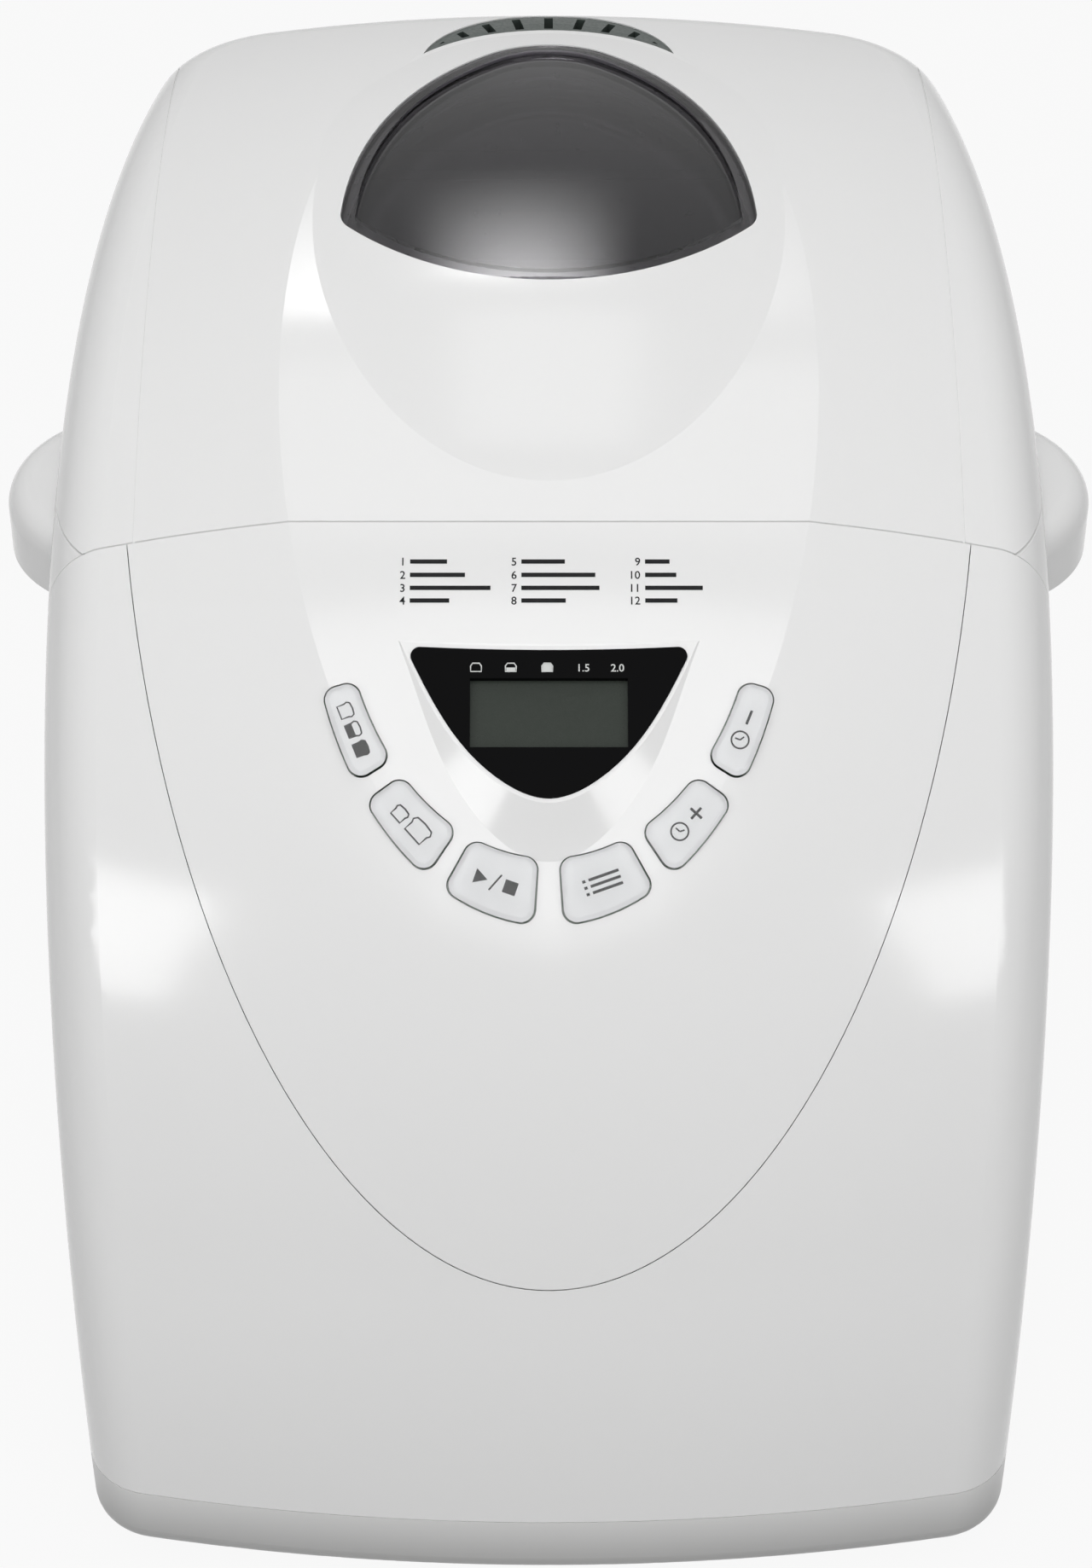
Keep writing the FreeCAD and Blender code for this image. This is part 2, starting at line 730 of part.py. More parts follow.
def shield_wire(grow, n):
    """Shield outline of the display: slightly dipped top edge and a rounded, tapering lower edge."""
    top = float(bezel_half_height) + grow
    corner = Vector(float(bezel_half_width) + grow, top, n)
    waist = Vector(float(waist_half_width) + grow * STEEP, -float(waist_drop) - grow * SHALLOW, n)
    chin = Vector(float(chin_half_width) + grow * SHALLOW, -float(chin_drop) - grow * STEEP, n)
    tip = Vector(0, -float(bezel_half_height) - grow, n)

    def mirrored(spot):
        return Vector(-spot.x, spot.y, n)

    lower = Part.BSplineCurve()
    lower.interpolate([corner, waist, chin, tip, mirrored(chin), mirrored(waist), mirrored(corner)])
    upper = Part.Arc(mirrored(corner), Vector(0, top - float(bezel_top_dip), n), corner)
    return Part.Wire([lower.toShape(), upper.toShape()])


def upright_edges(shape):
    return [edge for edge in shape.Edges if upright(edge, None)]


def shield_prism(grow, low, high):
    solid = Part.Face(shield_wire(grow, low)).extrude(Vector(0, 0, high - low))
    return solid.makeFillet(float(bezel_corner_radius) + grow, upright_edges(solid)).Solids[0]


def bezel_feature(name, shape):
    item = feature(name, shape)
    item.Placement = bezel
    return item


def bezel_block(name, span_u, span_v, span_n, mid_v, low_n):
    item = doc.addObject("Part::Box", name)
    bind(item, "Length", span_u)
    bind(item, "Width", span_v)
    bind(item, "Height", span_n)
    corner = Vector(-float(span_u) / 2, float(mid_v - span_v / 2), float(low_n))
    item.Placement = bezel.multiply(Placement(corner, Rotation()))
    return item


mound_top = float(bezel_margin)
mound = Part.makeLoft([shield_wire(mound_top, 0.0),
                       shield_wire(mound_top + float(mound_slope_run), -float(mound_slope_drop))], True, True)
mound_skin = cut("mound_skin", bezel_feature("mound_solid", mound), form_inner)
bezel_pocket = bezel_feature("bezel_pocket", shield_prism(float(seat_gap), -float(bezel_thickness), OVERRUN))
display_slot_block = bezel_block("display_slot_block", display_width + display_margin * 2 + seat_gap * 2,
                                 display_height + display_margin * 2 + seat_gap * 2, OVERRUN * 2, display_rise,
                                 -OVERRUN)
display_edge = float(display_inset)
display_slot_room = bezel_feature("display_slot_room", shield_prism(-display_edge, -OVERRUN, OVERRUN))
display_slot = common("display_slot", display_slot_block, display_slot_room)


def key_wire(index, side, grow):
    """Outline of one key: a slice of the band between two ellipses, its ends square to the inner one."""
    spread = math.degrees(grow / float(key_inner_half_width))
    start = math.radians(float(key_start) + index * float(key_pitch) - spread)
    end = start + math.radians(float(key_span) + 2 * spread)
    inner_u = float(key_inner_half_width) - grow
    inner_v = float(key_inner_reach) - grow
    outer_u = float(key_outer_half_width) + grow
    outer_v = float(key_outer_reach) + grow
    middle = Vector(0, float(key_ring_rise), 0)

    def across(angle):
        """Where a line that leaves the inner ellipse squarely meets the outer one."""
        near_u = inner_u * math.sin(angle) / outer_u
        near_v = inner_v * math.cos(angle) / outer_v
        way_u = math.sin(angle) / inner_u / outer_u
        way_v = math.cos(angle) / inner_v / outer_v
        square = way_u ** 2 + way_v ** 2
        half = near_u * way_u + near_v * way_v
        rest = near_u ** 2 + near_v ** 2 - 1
        run = (math.sqrt(half ** 2 - square * rest) - half) / square
        return math.atan2(near_u + run * way_u, near_v + run * way_v)

    def band_edge(half_width, reach, begin, finish):
        ellipse = Part.Ellipse(middle + Vector(0, -reach, 0), middle + Vector(half_width, 0, 0), middle)
        ends = sorted((side * begin, side * finish))
        return Part.ArcOfEllipse(ellipse, ends[0], ends[1])

    outer = band_edge(outer_u, outer_v, across(start), across(end))
    inner = band_edge(inner_u, inner_v, start, end)
    return Part.Wire([outer.toShape(),
                      Part.makeLine(outer.EndPoint, inner.EndPoint),
                      inner.toShape(),
                      Part.makeLine(inner.StartPoint, outer.StartPoint)])


def key_prism(index, side, grow, low, high):
    base = Part.Face(key_wire(index, side, grow))
    base.translate(Vector(0, 0, low))
    solid = base.extrude(Vector(0, 0, high - low))
    return solid.makeFillet(float(key_corner_radius) + grow, upright_edges(solid)).Solids[0]


def channel_skin(offset):
    """The channel floor in panel coordinates, moved out by an offset."""
    span = float(deck_width)
    return Part.makeCylinder(float(channel_radius) + offset, span,
                             Vector(-span / 2, 0, -float(channel_radius)), Vector(1, 0, 0))


switch_top = -float(board_depth) + float(switch_height)


def key_cap(index, side):
    proud = float(key_proud)
    radius = float(channel_radius)
    skirt = key_prism(index, side, float(key_flange), 0.0, float(key_flange_thickness))
    edge_v = max(abs(skirt.BoundBox.YMin), abs(skirt.BoundBox.YMax))
    under = math.sqrt((radius - float(wall)) ** 2 - edge_v ** 2) - radius - float(seat_gap)
    skirt.translate(Vector(0, 0, under - float(key_flange_thickness)))
    cap = key_prism(index, side, 0.0, under - float(key_flange_thickness) / 2, OVERRUN / 2)
    cap = cap.common(channel_skin(proud))
    rim = []
    for edge in cap.Edges:
        spots = [edge.valueAt(edge.FirstParameter), edge.valueAt(edge.LastParameter)]
        if all(abs(math.hypot(spot.y, spot.z + radius) - radius - proud) < CLOSE for spot in spots):
            rim.append(edge)
    cap = cap.makeFillet(float(key_edge_radius), rim)
    middle = skirt.CenterOfMass
    foot = switch_top + float(key_travel_room)
    stem = Part.makeCylinder(float(key_stem_diameter) / 2, under - foot, Vector(middle.x, middle.y, foot))
    return cap.fuse([skirt, stem]), middle


KEYS = [("key_crust", 2, -1), ("key_loaf_size", 1, -1), ("key_start_stop", 0, -1),
        ("key_menu", 0, 1), ("key_time_up", 1, 1), ("key_time_down", 2, 1)]
key_openings = []
switches = []
for key_name, key_index, key_side in KEYS:
    cap_shape, cap_middle = key_cap(key_index, key_side)
    node(on_panel(feature(key_name + "_piece", cap_shape), 0, 0, 0), key_name)
    opening = key_prism(key_index, key_side, float(key_clearance), -OVERRUN / 2, OVERRUN / 2)
    key_openings.append(on_panel(feature(key_name + "_opening", opening), 0, 0, 0))
    switch = doc.addObject("Part::Box", key_name + "_switch")
    bind(switch, "Length", switch_side)
    bind(switch, "Width", switch_side)
    bind(switch, "Height", switch_height)
    half = float(switch_side) / 2
    switches.append(on_panel(switch, cap_middle.x - half, cap_middle.y - half, -board_depth))
node(group("tact_switches_piece", switches), "tact_switches")

board = doc.addObject("Part::Box", "control_board_plate")
bind(board, "Length", board_width)
bind(board, "Width", board_length)
bind(board, "Height", board_thickness)
on_panel(board, -board_width / 2, board_rise - board_length / 2, -board_depth - board_thickness)

board_posts = []
board_bores = []
board_screws = []
post_u = board_width / 2 - board_post_inset
post_v = board_length / 2 - board_post_inset
for across in (-1, 1):
    for along in (-1, 1):
        tag = "%s%s" % ("left" if across < 0 else "right", "low" if along < 0 else "high")
        post = doc.addObject("Part::Cylinder", "board_post_" + tag)
        bind(post, "Radius", board_post_diameter / 2)
        post.Height = OVERRUN
        on_panel(post, post_u * across, board_rise + post_v * along, -board_depth)
        board_posts.append(common("board_post_trim_" + tag, post, form_middle))
        bore = doc.addObject("Part::Cylinder", "board_bore_" + tag)
        bind(bore, "Radius", screw_diameter / 2 + fit_clearance)
        bind(bore, "Height", screw_length)
        on_panel(bore, post_u * across, board_rise + post_v * along,
                 -board_depth - board_thickness - fit_clearance)
        board_bores.append(bore)
        shank = doc.addObject("Part::Cylinder", "board_shank_" + tag)
        bind(shank, "Radius", screw_diameter / 2)
        bind(shank, "Height", screw_length / 2 + board_thickness)
        on_panel(shank, post_u * across, board_rise + post_v * along, -board_depth - board_thickness)
        head = doc.addObject("Part::Cylinder", "board_head_" + tag)
        bind(head, "Radius", screw_head_diameter / 2)
        bind(head, "Height", screw_head_height)
        on_panel(head, post_u * across, board_rise + post_v * along,
                 -board_depth - board_thickness - screw_head_height)
        board_screws.append(fuse("board_screw_" + tag, shank, head))
board_bore_set = group("board_bore_set", board_bores)
node(cut("control_board_piece", board, board_bore_set), "control_board")
node(group("board_screws_piece", board_screws), "board_screws")

fascia_skin = common("fascia_skin", common("fascia_cap", skin, fascia_plug), front_region)
fascia_solid = fuse("fascia_solid", fascia_skin, mound_skin, *board_posts)
fascia_cuts = group("fascia_cuts", key_openings + [bezel_pocket, display_slot])
fascia_open = cut("fascia_open", fascia_solid, fascia_cuts)
node(cut("control_fascia_piece", fascia_open, board_bore_set), "control_fascia")

bezel_plate = bezel_feature("bezel_plate", shield_prism(0.0, -float(bezel_thickness), float(bezel_proud)))
bezel_window = bezel_block("bezel_window", display_width, display_height, OVERRUN, display_rise, -OVERRUN / 2)
node(cut("lcd_bezel_piece", bezel_plate, bezel_window), "lcd_bezel")
display_block = bezel_block("display_block", display_width + display_margin * 2,
                            display_height + display_margin * 2, display_thickness, display_rise,
                            -bezel_thickness - display_thickness)
display_room = bezel_feature("display_room", shield_prism(-display_edge - float(seat_gap), -OVERRUN, OVERRUN))
node(common("lcd_module_piece", display_block, display_room), "lcd_module")

# Rear housing: side walls and back with louvres, cord inlet opening and hinge ears
hinge_ear_offset = hinge_lug_width / 2 + hinge_side_gap + hinge_ear_width / 2
hinge_pin_length = hinge_lug_width + hinge_side_gap * 2 + hinge_ear_width * 2
hinge_root_depth = hinge_setback + hinge_lug_radius + wall / 2
hinge_back = hinge_y + hinge_lug_radius


def ear_foot_edge(edge, middle):
    low = float(deck_height - hinge_ear_length)
    return abs(middle.y - float(hinge_back)) < CLOSE and abs(middle.z - low) < CLOSE


def lug_head_edge(edge, middle):
    high = float(hinge_z + hinge_lug_length)
    return abs(middle.y - float(hinge_back)) < CLOSE and abs(middle.z - high) < CLOSE


ears = []
ear_bores = []
lugs = []
lug_bores = []
pins = []
for side, tag in ((-1, "left"), (1, "right")):
    pin_x = hinge_half_span * side
    for offset in (-1, 1):
        mark = "%s_%s" % (tag, "a" if offset < 0 else "b")
        ear_x = pin_x + hinge_ear_offset * offset
        ear_root = block("ear_root_" + mark, hinge_ear_width, hinge_root_depth, hinge_ear_length, ear_x,
                         rear_y - wall / 2 + hinge_root_depth / 2, deck_height - hinge_ear_length)
        ears.append(rounded("ear_foot_" + mark, ear_root, hinge_root_radius, ear_foot_edge))
        ears.append(block("ear_neck_" + mark, hinge_ear_width, hinge_lug_radius * 2, hinge_rise + wall,
                          ear_x, hinge_y, deck_height - wall))
        ears.append(rod("ear_eye_" + mark, hinge_lug_radius * 2, hinge_ear_width,
                        ear_x - hinge_ear_width / 2, hinge_y, hinge_z, ALONG_X))
    ear_bores.append(rod("ear_bore_" + tag, hinge_pin_diameter + fit_clearance, hinge_pin_length,
                         pin_x - hinge_pin_length / 2, hinge_y, hinge_z, ALONG_X))
    lug_root = block("lug_root_" + tag, hinge_lug_width, hinge_root_depth, hinge_lug_length, pin_x,
                     rear_y - wall / 2 + hinge_root_depth / 2, hinge_z)
    lugs.append(rounded("lug_head_" + tag, lug_root, hinge_root_radius, lug_head_edge))
    lugs.append(rod("lug_eye_" + tag, hinge_lug_radius * 2, hinge_lug_width,
                    pin_x - hinge_lug_width / 2, hinge_y, hinge_z, ALONG_X))
    lug_bores.append(rod("lug_bore_" + tag, hinge_pin_diameter + hinge_pin_clearance * 2, hinge_pin_length,
                         pin_x - hinge_pin_length / 2, hinge_y, hinge_z, ALONG_X))
    pins.append(rod("hinge_pin_" + tag, hinge_pin_diameter, hinge_pin_length,
                    pin_x - hinge_pin_length / 2, hinge_y, hinge_z, ALONG_X))
node(group("hinge_pins_piece", pins), "hinge_pins")

louvres = []
for index in range(slot_count):
    louvre_x = slot_pitch * (index - (slot_count - 1) / 2)
    louvres.append(block("louvre_%d" % index, slot_width, wall * 4, rear_slot_length, louvre_x, rear_y,
                         rear_slot_height - rear_slot_length / 2))
inlet_opening = rod("inlet_opening", inlet_diameter + seat_gap * 2, wall * 4, inlet_x, rear_y - wall * 2,
                    inlet_height, ALONG_Y)
rear_skin = fuse("rear_skin", common("rear_walls", skin, rear_region), *ears)
rear_cuts = group("rear_cuts", louvres + ear_bores + [inlet_opening])
node(cut("rear_housing_piece", rear_skin, rear_cuts), "rear_housing")
inlet_body = fuse("inlet_body",
                  rod("inlet_collar", inlet_diameter + inlet_flange * 2, inlet_flange / 2, inlet_x, rear_y,
                      inlet_height, ALONG_Y),
                  rod("inlet_spigot", inlet_diameter, wall * 2, inlet_x, rear_y - wall * 2,
                      inlet_height, ALONG_Y))
inlet_hole = rod("inlet_hole", inlet_bore, wall * 6, inlet_x, rear_y - wall * 3, inlet_height, ALONG_Y)
node(cut("cord_inlet_piece", inlet_body, inlet_hole), "cord_inlet")

# Lid: one moulded shell with the channel, the dome, the window and the vent opening
def window_blank():
    """Core of the window outline: every outline drawn from it is this core grown by its corner radius."""
    middle = float(axis_y)
    low = float(deck_height)
    inset = float(window_corner_radius)
    bow = float(window_side_radius) - inset
    nose = float(window_apex_radius) - inset
    corner = Vector(float(window_half_width) - inset, middle - float(window_corner_back), low)
    front = Vector(0, middle - float(window_front_back) + inset, low)
    nose_mid = Vector(0, middle + float(window_apex - window_apex_radius), low)
    # centre of the bowed side: one bow radius from the corner, and round the nose from inside
    span = corner - nose_mid
    gap = span.Length
    along = ((bow - nose) ** 2 - bow ** 2 + gap ** 2) / (2 * gap)
    lift = math.sqrt((bow - nose) ** 2 - along ** 2)
    way = span / gap
    bow_mid = nose_mid + way * along + Vector(way.y, -way.x, 0) * lift
    touch = nose_mid + (nose_mid - bow_mid).normalize() * nose
    bulge = bow_mid + ((corner + touch) / 2 - bow_mid).normalize() * bow
    tip = nose_mid + Vector(0, nose, 0)

    def mirrored(spot):
        return Vector(-spot.x, spot.y, spot.z)

    return Part.Face(Part.Wire([Part.Arc(mirrored(corner), front, corner).toShape(),
                                Part.Arc(corner, bulge, touch).toShape(),
                                Part.Arc(touch, tip, mirrored(touch)).toShape(),
                                Part.Arc(mirrored(touch), mirrored(bulge), mirrored(corner)).toShape()]))


window_core = window_blank()


def offset_prism(outline, grow):
    base = outline.makeOffset2D(grow) if grow else outline
    return base.extrude(Vector(0, 0, HIGH_Z - float(deck_height)))


def window_prism(grow):
    return offset_prism(window_core, float(window_corner_radius) + float(grow))


def vent_blank():
    middle = float(axis_y)
    low = float(deck_height)
    tips = [Vector(side * float(vent_tip_half_width), middle + float(vent_tip_back), low) for side in (-1, 1)]
    outer = Vector(0, middle + float(vent_outer_back), low)
    inner = Vector(0, middle + float(vent_inner_back), low)
    return Part.Face(Part.Wire([Part.Arc(tips[0], outer, tips[1]).toShape(),
                                Part.Arc(tips[1], inner, tips[0]).toShape()]))


vent_outline = vent_blank()
form_liner_top = feature("form_liner_top", plain_form(float(liner_inset)))
form_liner_under = feature("form_liner_under", plain_form(float(liner_inset + liner_sheet)))

window_cutter = feature("window_cutter", window_prism(0))
vent_cutter = feature("vent_cutter", offset_prism(vent_outline, 0.0))
groove_fins = []
for side, tag in ((-1, "left"), (1, "right")):
    groove_fins.append(block("groove_fin_" + tag, groove_width, far, far, groove_half_span * side,
                             parting_y + far / 2, deck_height))
groove_cutter = cut("groove_cutter", group("groove_fin_set", groove_fins), form_groove)
lid_skin = cut("lid_skin", common("lid_block", form_outer, lid_region), form_inner)
lid_cuts = group("lid_cuts", [window_cutter, vent_cutter] + lug_bores)
lid_solid = fuse("lid_solid", lid_skin, *lugs)
node(cut("lid_shell_piece", cut("lid_open", lid_solid, lid_cuts), groove_cutter), "lid_shell")

lid_inner_skin = cut("lid_inner_skin", form_inner, form_ledge)


def dome_skin(top, under):
    """A sheet that follows the dome between two insets."""
    skins = []
    for inset in (float(top), float(under)):
        skins.append(barrel(float(dome_radius) - inset, float(dome_crown_radius) - inset,
                            float(dome_y), float(dome_z)))
    return skins[0].cut(skins[1])


def pane_skin(top, under):
    """A sheet that follows the barrel between two insets."""
    skins = []
    for inset in (float(top), float(under)):
        skins.append(barrel(float(profile_radius) - inset, float(crown_radius) - inset,
                            float(axis_y), float(axis_z)))
    return skins[0].cut(skins[1])


lens_under = wall + lens_flange_thickness
lens_rim_ring = window_prism(-window_gap).common(dome_skin(lens_top_inset, lens_under))
lens_lip = window_prism(lens_flange).common(dome_skin(wall, lens_under))
lens_dish = window_prism(-window_gap - lens_rim).common(dome_skin(0, lens_recess))
lens = lens_rim_ring.fuse(lens_lip).cut(lens_dish)
node(feature("window_lens_piece", lens), "window_lens")

vent_core = common("vent_core", feature("vent_prism", offset_prism(vent_outline, -float(vent_gap))),
                   cut("vent_skin", form_groove, form_ledge))
vent_lip = common("vent_lip", feature("vent_lip_prism", offset_prism(vent_outline, float(vent_flange))),
                  lid_inner_skin)
vent_sag = vent_inner_back - vent_tip_back
vent_arc = (vent_tip_half_width * vent_tip_half_width + vent_sag * vent_sag) / vent_sag / 2
vent_mid_y = axis_y + vent_inner_back - vent_arc
vent_bars = []
for index in range(vent_slots):
    slot_turn = Rotation(Vector(0, 0, 1), float(vent_slot_pitch) * (index - (vent_slots - 1) / 2))
    slot = doc.addObject("Part::Box", "vent_slot_%d" % index)
    bind(slot, "Length", vent_slot_width)
    bind(slot, "Width", vent_arc * 2)
    bind(slot, "Height", deck_height)
    offset = slot_turn.multVec(Vector(-float(vent_slot_width) / 2, 0, 0))
    slot.Placement = Placement(Vector(), slot_turn)
    vent_bars.append(place(slot, offset.x, vent_mid_y + offset.y, deck_height))
vent_field = feature("vent_field", offset_prism(vent_outline, -float(vent_border)))
vent_openings = common("vent_openings", group("vent_bar_set", vent_bars), vent_field)
node(cut("vent_grille_piece", fuse("vent_solid", vent_core, vent_lip), vent_openings), "vent_grille")

liner_block = cut("liner_block", common("liner_form", form_seat, lid_region), form_liner_under)
liner_room = block("liner_room", far, far, far, 0, parting_y + lid_gap / 2 + liner_flange + far / 2,
                   deck_height + lid_gap + liner_flange)
liner_void = cut("liner_void", common("liner_void_form", form_seat, liner_room), form_liner_top)
node(cut("lid_liner_piece", cut("liner_sheet_piece", liner_block, liner_void), window_cutter), "lid_liner")
pane_top = liner_inset + liner_sheet
pane = window_prism(pane_overlap).common(pane_skin(pane_top, pane_top + pane_thickness))
node(feature("window_pane_piece", pane), "window_pane")

# Carrying handles: half-disc ears on the side walls with a finger pocket below
handle_y = front_y + handle_setback
handle_x = side_x(float(handle_y), float(handle_top)) + float(handle_reach - handle_radius)
for side, tag in ((-1, "left"), (1, "right")):
    disc = rod("handle_disc_" + tag, handle_radius * 2, handle_thickness, handle_x * side, handle_y,
               handle_top - handle_thickness)

    def top_edge(edge, middle):
        return abs(middle.z - float(handle_top)) < CLOSE and edge.BoundBox.XLength > float(handle_radius)

    soft = rounded("handle_soft_" + tag, disc, handle_edge_radius, top_edge)
    pocket = rod("handle_pocket_" + tag, (handle_radius - handle_wall) * 2, handle_thickness,
                 handle_x * side, handle_y, handle_top - handle_roof - handle_thickness)
    node(cut("%s_handle_piece" % tag, cut("handle_hollow_" + tag, soft, pocket), form_plain), tag + "_handle")

# Base tray with rounded lower edge, chassis posts and cooling slots
tray_block = plain_form(0.0).common(Part.makeBox(float(far), float(far), float(tray_height),
                                                 Vector(-float(far) / 2, -float(far) / 2, float(foot_height))))
tray_rim = [edge for edge in tray_block.Edges if edge.BoundBox.ZMax < float(foot_height) + CLOSE]
tray_form = feature("tray_form", tray_block.makeFillet(float(tray_edge_radius), tray_rim))
tray_room = block("tray_room", far, far, tray_height * 2, 0, 0, foot_height + tray_floor)
tray_hollow = common("tray_hollow", form_plain_inner, tray_room)
tray_posts = []
screw_bores = []
screws = []
for side, tag in ((-1, "left"), (1, "right")):
    for reach, end in ((-post_front_reach, "front"), (post_rear_reach, "rear")):
        spot_x = post_half_x * side
        spot_y = pan_y + reach
        mark = "%s_%s" % (tag, end)
        tray_posts.append(rod("tray_post_" + mark, post_diameter, chassis_height - foot_height - tray_floor / 2,
                              spot_x, spot_y, foot_height + tray_floor / 2))
        screw_bores.append(rod("screw_bore_" + mark, screw_diameter + fit_clearance * 2,
                               screw_length + chassis_sheet * 2, spot_x, spot_y,
                               chassis_height - screw_length - fit_clearance))
        screws.append(fuse("chassis_screw_" + mark,
                           rod("screw_shank_" + mark, screw_diameter, screw_length, spot_x, spot_y,
                               chassis_top - screw_length),
                           rod("screw_head_" + mark, screw_head_diameter, screw_head_height, spot_x, spot_y,
                               chassis_top)))
screw_bore_set = group("screw_bore_set", screw_bores)
node(group("chassis_screws_piece", screws), "chassis_screws")
floor_slots = []
for index in range(slot_count):
    slot_x = slot_pitch * (index - (slot_count - 1) / 2)
    floor_slots.append(block("floor_slot_%d" % index, slot_width, slot_length, tray_floor * 4, slot_x, motor_y,
                             foot_height - tray_floor))
tray_cuts = group("tray_cuts", floor_slots)
tray_solid = fuse("tray_solid", cut("tray_shell", tray_form, tray_hollow), *tray_posts)
node(cut("base_tray_piece", cut("tray_slotted", tray_solid, tray_cuts), screw_bore_set), "base_tray")

feet = []
for side, tag in ((-1, "left"), (1, "right")):
    for spot_y, end in ((front_y + foot_front_inset, "front"), (rear_y - foot_rear_inset, "rear")):
        foot = doc.addObject("Part::Cone", "foot_%s_%s" % (tag, end))
        bind(foot, "Radius1", (foot_diameter - foot_taper) / 2)
        bind(foot, "Radius2", foot_diameter / 2)
        bind(foot, "Height", foot_height)
        feet.append(place(foot, foot_half_x * side, spot_y, 0))
node(group("rubber_feet_piece", feet), "rubber_feet")

# Oven chamber, deck collar and heater
collar_low = deck_height - collar_thickness
chamber_outer = tub("chamber_outer", chamber_half_x + chamber_sheet, chamber_half_y + chamber_sheet,
                    chamber_corner + chamber_sheet, pan_y, chamber_floor, collar_low)
chamber_rim = tub("chamber_rim", chamber_half_x + chamber_flange, chamber_half_y + chamber_flange,
                  chamber_corner + chamber_flange, pan_y, collar_low - chamber_sheet, collar_low)
chamber_room = tub("chamber_room", chamber_half_x, chamber_half_y, chamber_corner, pan_y,
                   chamber_floor + chamber_sheet, deck_height * 2)
element_z = chamber_floor + element_lift
wall_y = pan_y - chamber_half_y
chamber_holes = [rod("coupler_hole", coupler_diameter + coupler_room * 2, chamber_floor, 0, pan_y,
                     chamber_floor / 2)]
bushes = []
for side, tag in ((-1, "left"), (1, "right")):
    lead_x = element_lead_gap / 2 * side
    chamber_holes.append(rod("bush_hole_" + tag, bush_diameter + fit_clearance * 2, chamber_corner / 2, lead_x,
                             wall_y - chamber_corner / 4, element_z, ALONG_Y))
    bushes.append(cut("bush_" + tag,
                      rod("bush_body_" + tag, bush_diameter, bush_length, lead_x,
                          wall_y - bush_length + chamber_sheet, element_z, ALONG_Y),
                      rod("bush_bore_" + tag, element_diameter + fit_clearance * 2, bush_length * 3, lead_x,
                          wall_y - bush_length * 2, element_z, ALONG_Y)))
sensor_z = chamber_floor + sensor_lift
chamber_holes.append(rod("sensor_hole", sensor_diameter + fit_clearance * 2, chamber_corner / 2, sensor_offset,
                         wall_y - chamber_corner / 4, sensor_z, ALONG_Y))
chamber_solid = fuse("chamber_solid", chamber_outer, chamber_rim)
chamber_cuts = group("chamber_cuts", chamber_holes)
chamber_shell = cut("chamber_shell", chamber_solid, chamber_room)
node(cut("baking_chamber_piece", chamber_shell, chamber_cuts), "baking_chamber")
node(group("element_bushes_piece", bushes), "element_bushes")
node(rod("temperature_sensor_piece", sensor_diameter, sensor_length, sensor_offset, wall_y - sensor_length / 2,
         sensor_z, ALONG_Y), "temperature_sensor")

collar_front = parting_y - seam - collar_upstand
collar_plan = fuse("collar_plan",
                   block("collar_plate", far, far, collar_thickness, 0, collar_front + far / 2, collar_low),
                   block("collar_wall", far, collar_upstand, far, 0, collar_front + collar_upstand / 2,
                         collar_low))
collar_opening = tub("collar_opening", chamber_half_x, chamber_half_y, chamber_corner, pan_y,
                     collar_low - collar_thickness, deck_height * 2)
node(cut("deck_collar_piece", common("collar_form", form_seat, collar_plan), collar_opening), "deck_collar")


def rounded_path(spots, radii):
    """A run of straight lengths joined by tangent bends."""
    edges = []
    start = spots[0]
    for index in range(1, len(spots) - 1):
        corner = spots[index]
        back = (spots[index - 1] - corner).normalize()
        ahead = (spots[index + 1] - corner).normalize()
        half = back.getAngle(ahead) / 2
        run = radii[index - 1] / math.tan(half)
        enter = corner + back * run
        leave = corner + ahead * run
        inward = (back + ahead).normalize()
        crest = corner + inward * (radii[index - 1] / math.sin(half) - radii[index - 1])
        edges.append(Part.makeLine(start, enter))
        edges.append(Part.Arc(enter, crest, leave).toShape())
        start = leave
    edges.append(Part.makeLine(start, spots[-1]))
    return Part.Wire(edges)


def tube(path, diameter):
    first = path.Edges[0]
    begin = first.valueAt(first.FirstParameter)
    way = first.tangentAt(first.FirstParameter)
    section = Part.Wire([Part.makeCircle(diameter / 2, begin, way)])
    return path.makePipeShell([section], True, False)


lead = float(element_lead_gap) / 2
lead_end = float(chamber_half_y + element_lead_length)
loop_x = float(element_half_x)
loop_y = float(element_half_y)
element_spots = [Vector(x, y, 0) for x, y in ((-lead, -lead_end), (-lead, -loop_y), (-loop_x, -loop_y),
                                              (-loop_x, loop_y), (loop_x, loop_y), (loop_x, -loop_y),
                                              (lead, -loop_y), (lead, -lead_end))]
element_bends = [float(element_lead_bend)] + [float(element_corner)] * 4 + [float(element_lead_bend)]
element_path = rounded_path(element_spots, element_bends)
element = feature("heating_element_piece", tube(element_path, float(element_diameter)))
place(element, 0, pan_y, element_z)
node(element, "heating_element")

brackets = []
bracket_depth_x = chamber_half_x - element_half_x + element_diameter
bracket_depth_y = chamber_half_y - element_half_y + element_diameter
for side, tag in ((-1, "left"), (1, "right")):
    arm = block("bracket_arm_" + tag, bracket_depth_x, bracket_width, bracket_height,
                (chamber_half_x - bracket_depth_x / 2) * side, pan_y, element_z - bracket_height / 2)
    eye = rod("bracket_eye_" + tag, element_diameter + fit_clearance * 2, bracket_width * 3,
              element_half_x * side, pan_y - bracket_width * 3 / 2, element_z, ALONG_Y)
    brackets.append(cut("bracket_" + tag, arm, eye))
rear_arm = block("bracket_arm_rear", bracket_width, bracket_depth_y, bracket_height, 0,
                 pan_y + chamber_half_y - bracket_depth_y / 2, element_z - bracket_height / 2)
rear_eye = rod("bracket_eye_rear", element_diameter + fit_clearance * 2, bracket_width * 3,
               -bracket_width * 3 / 2, pan_y + element_half_y, element_z, ALONG_X)
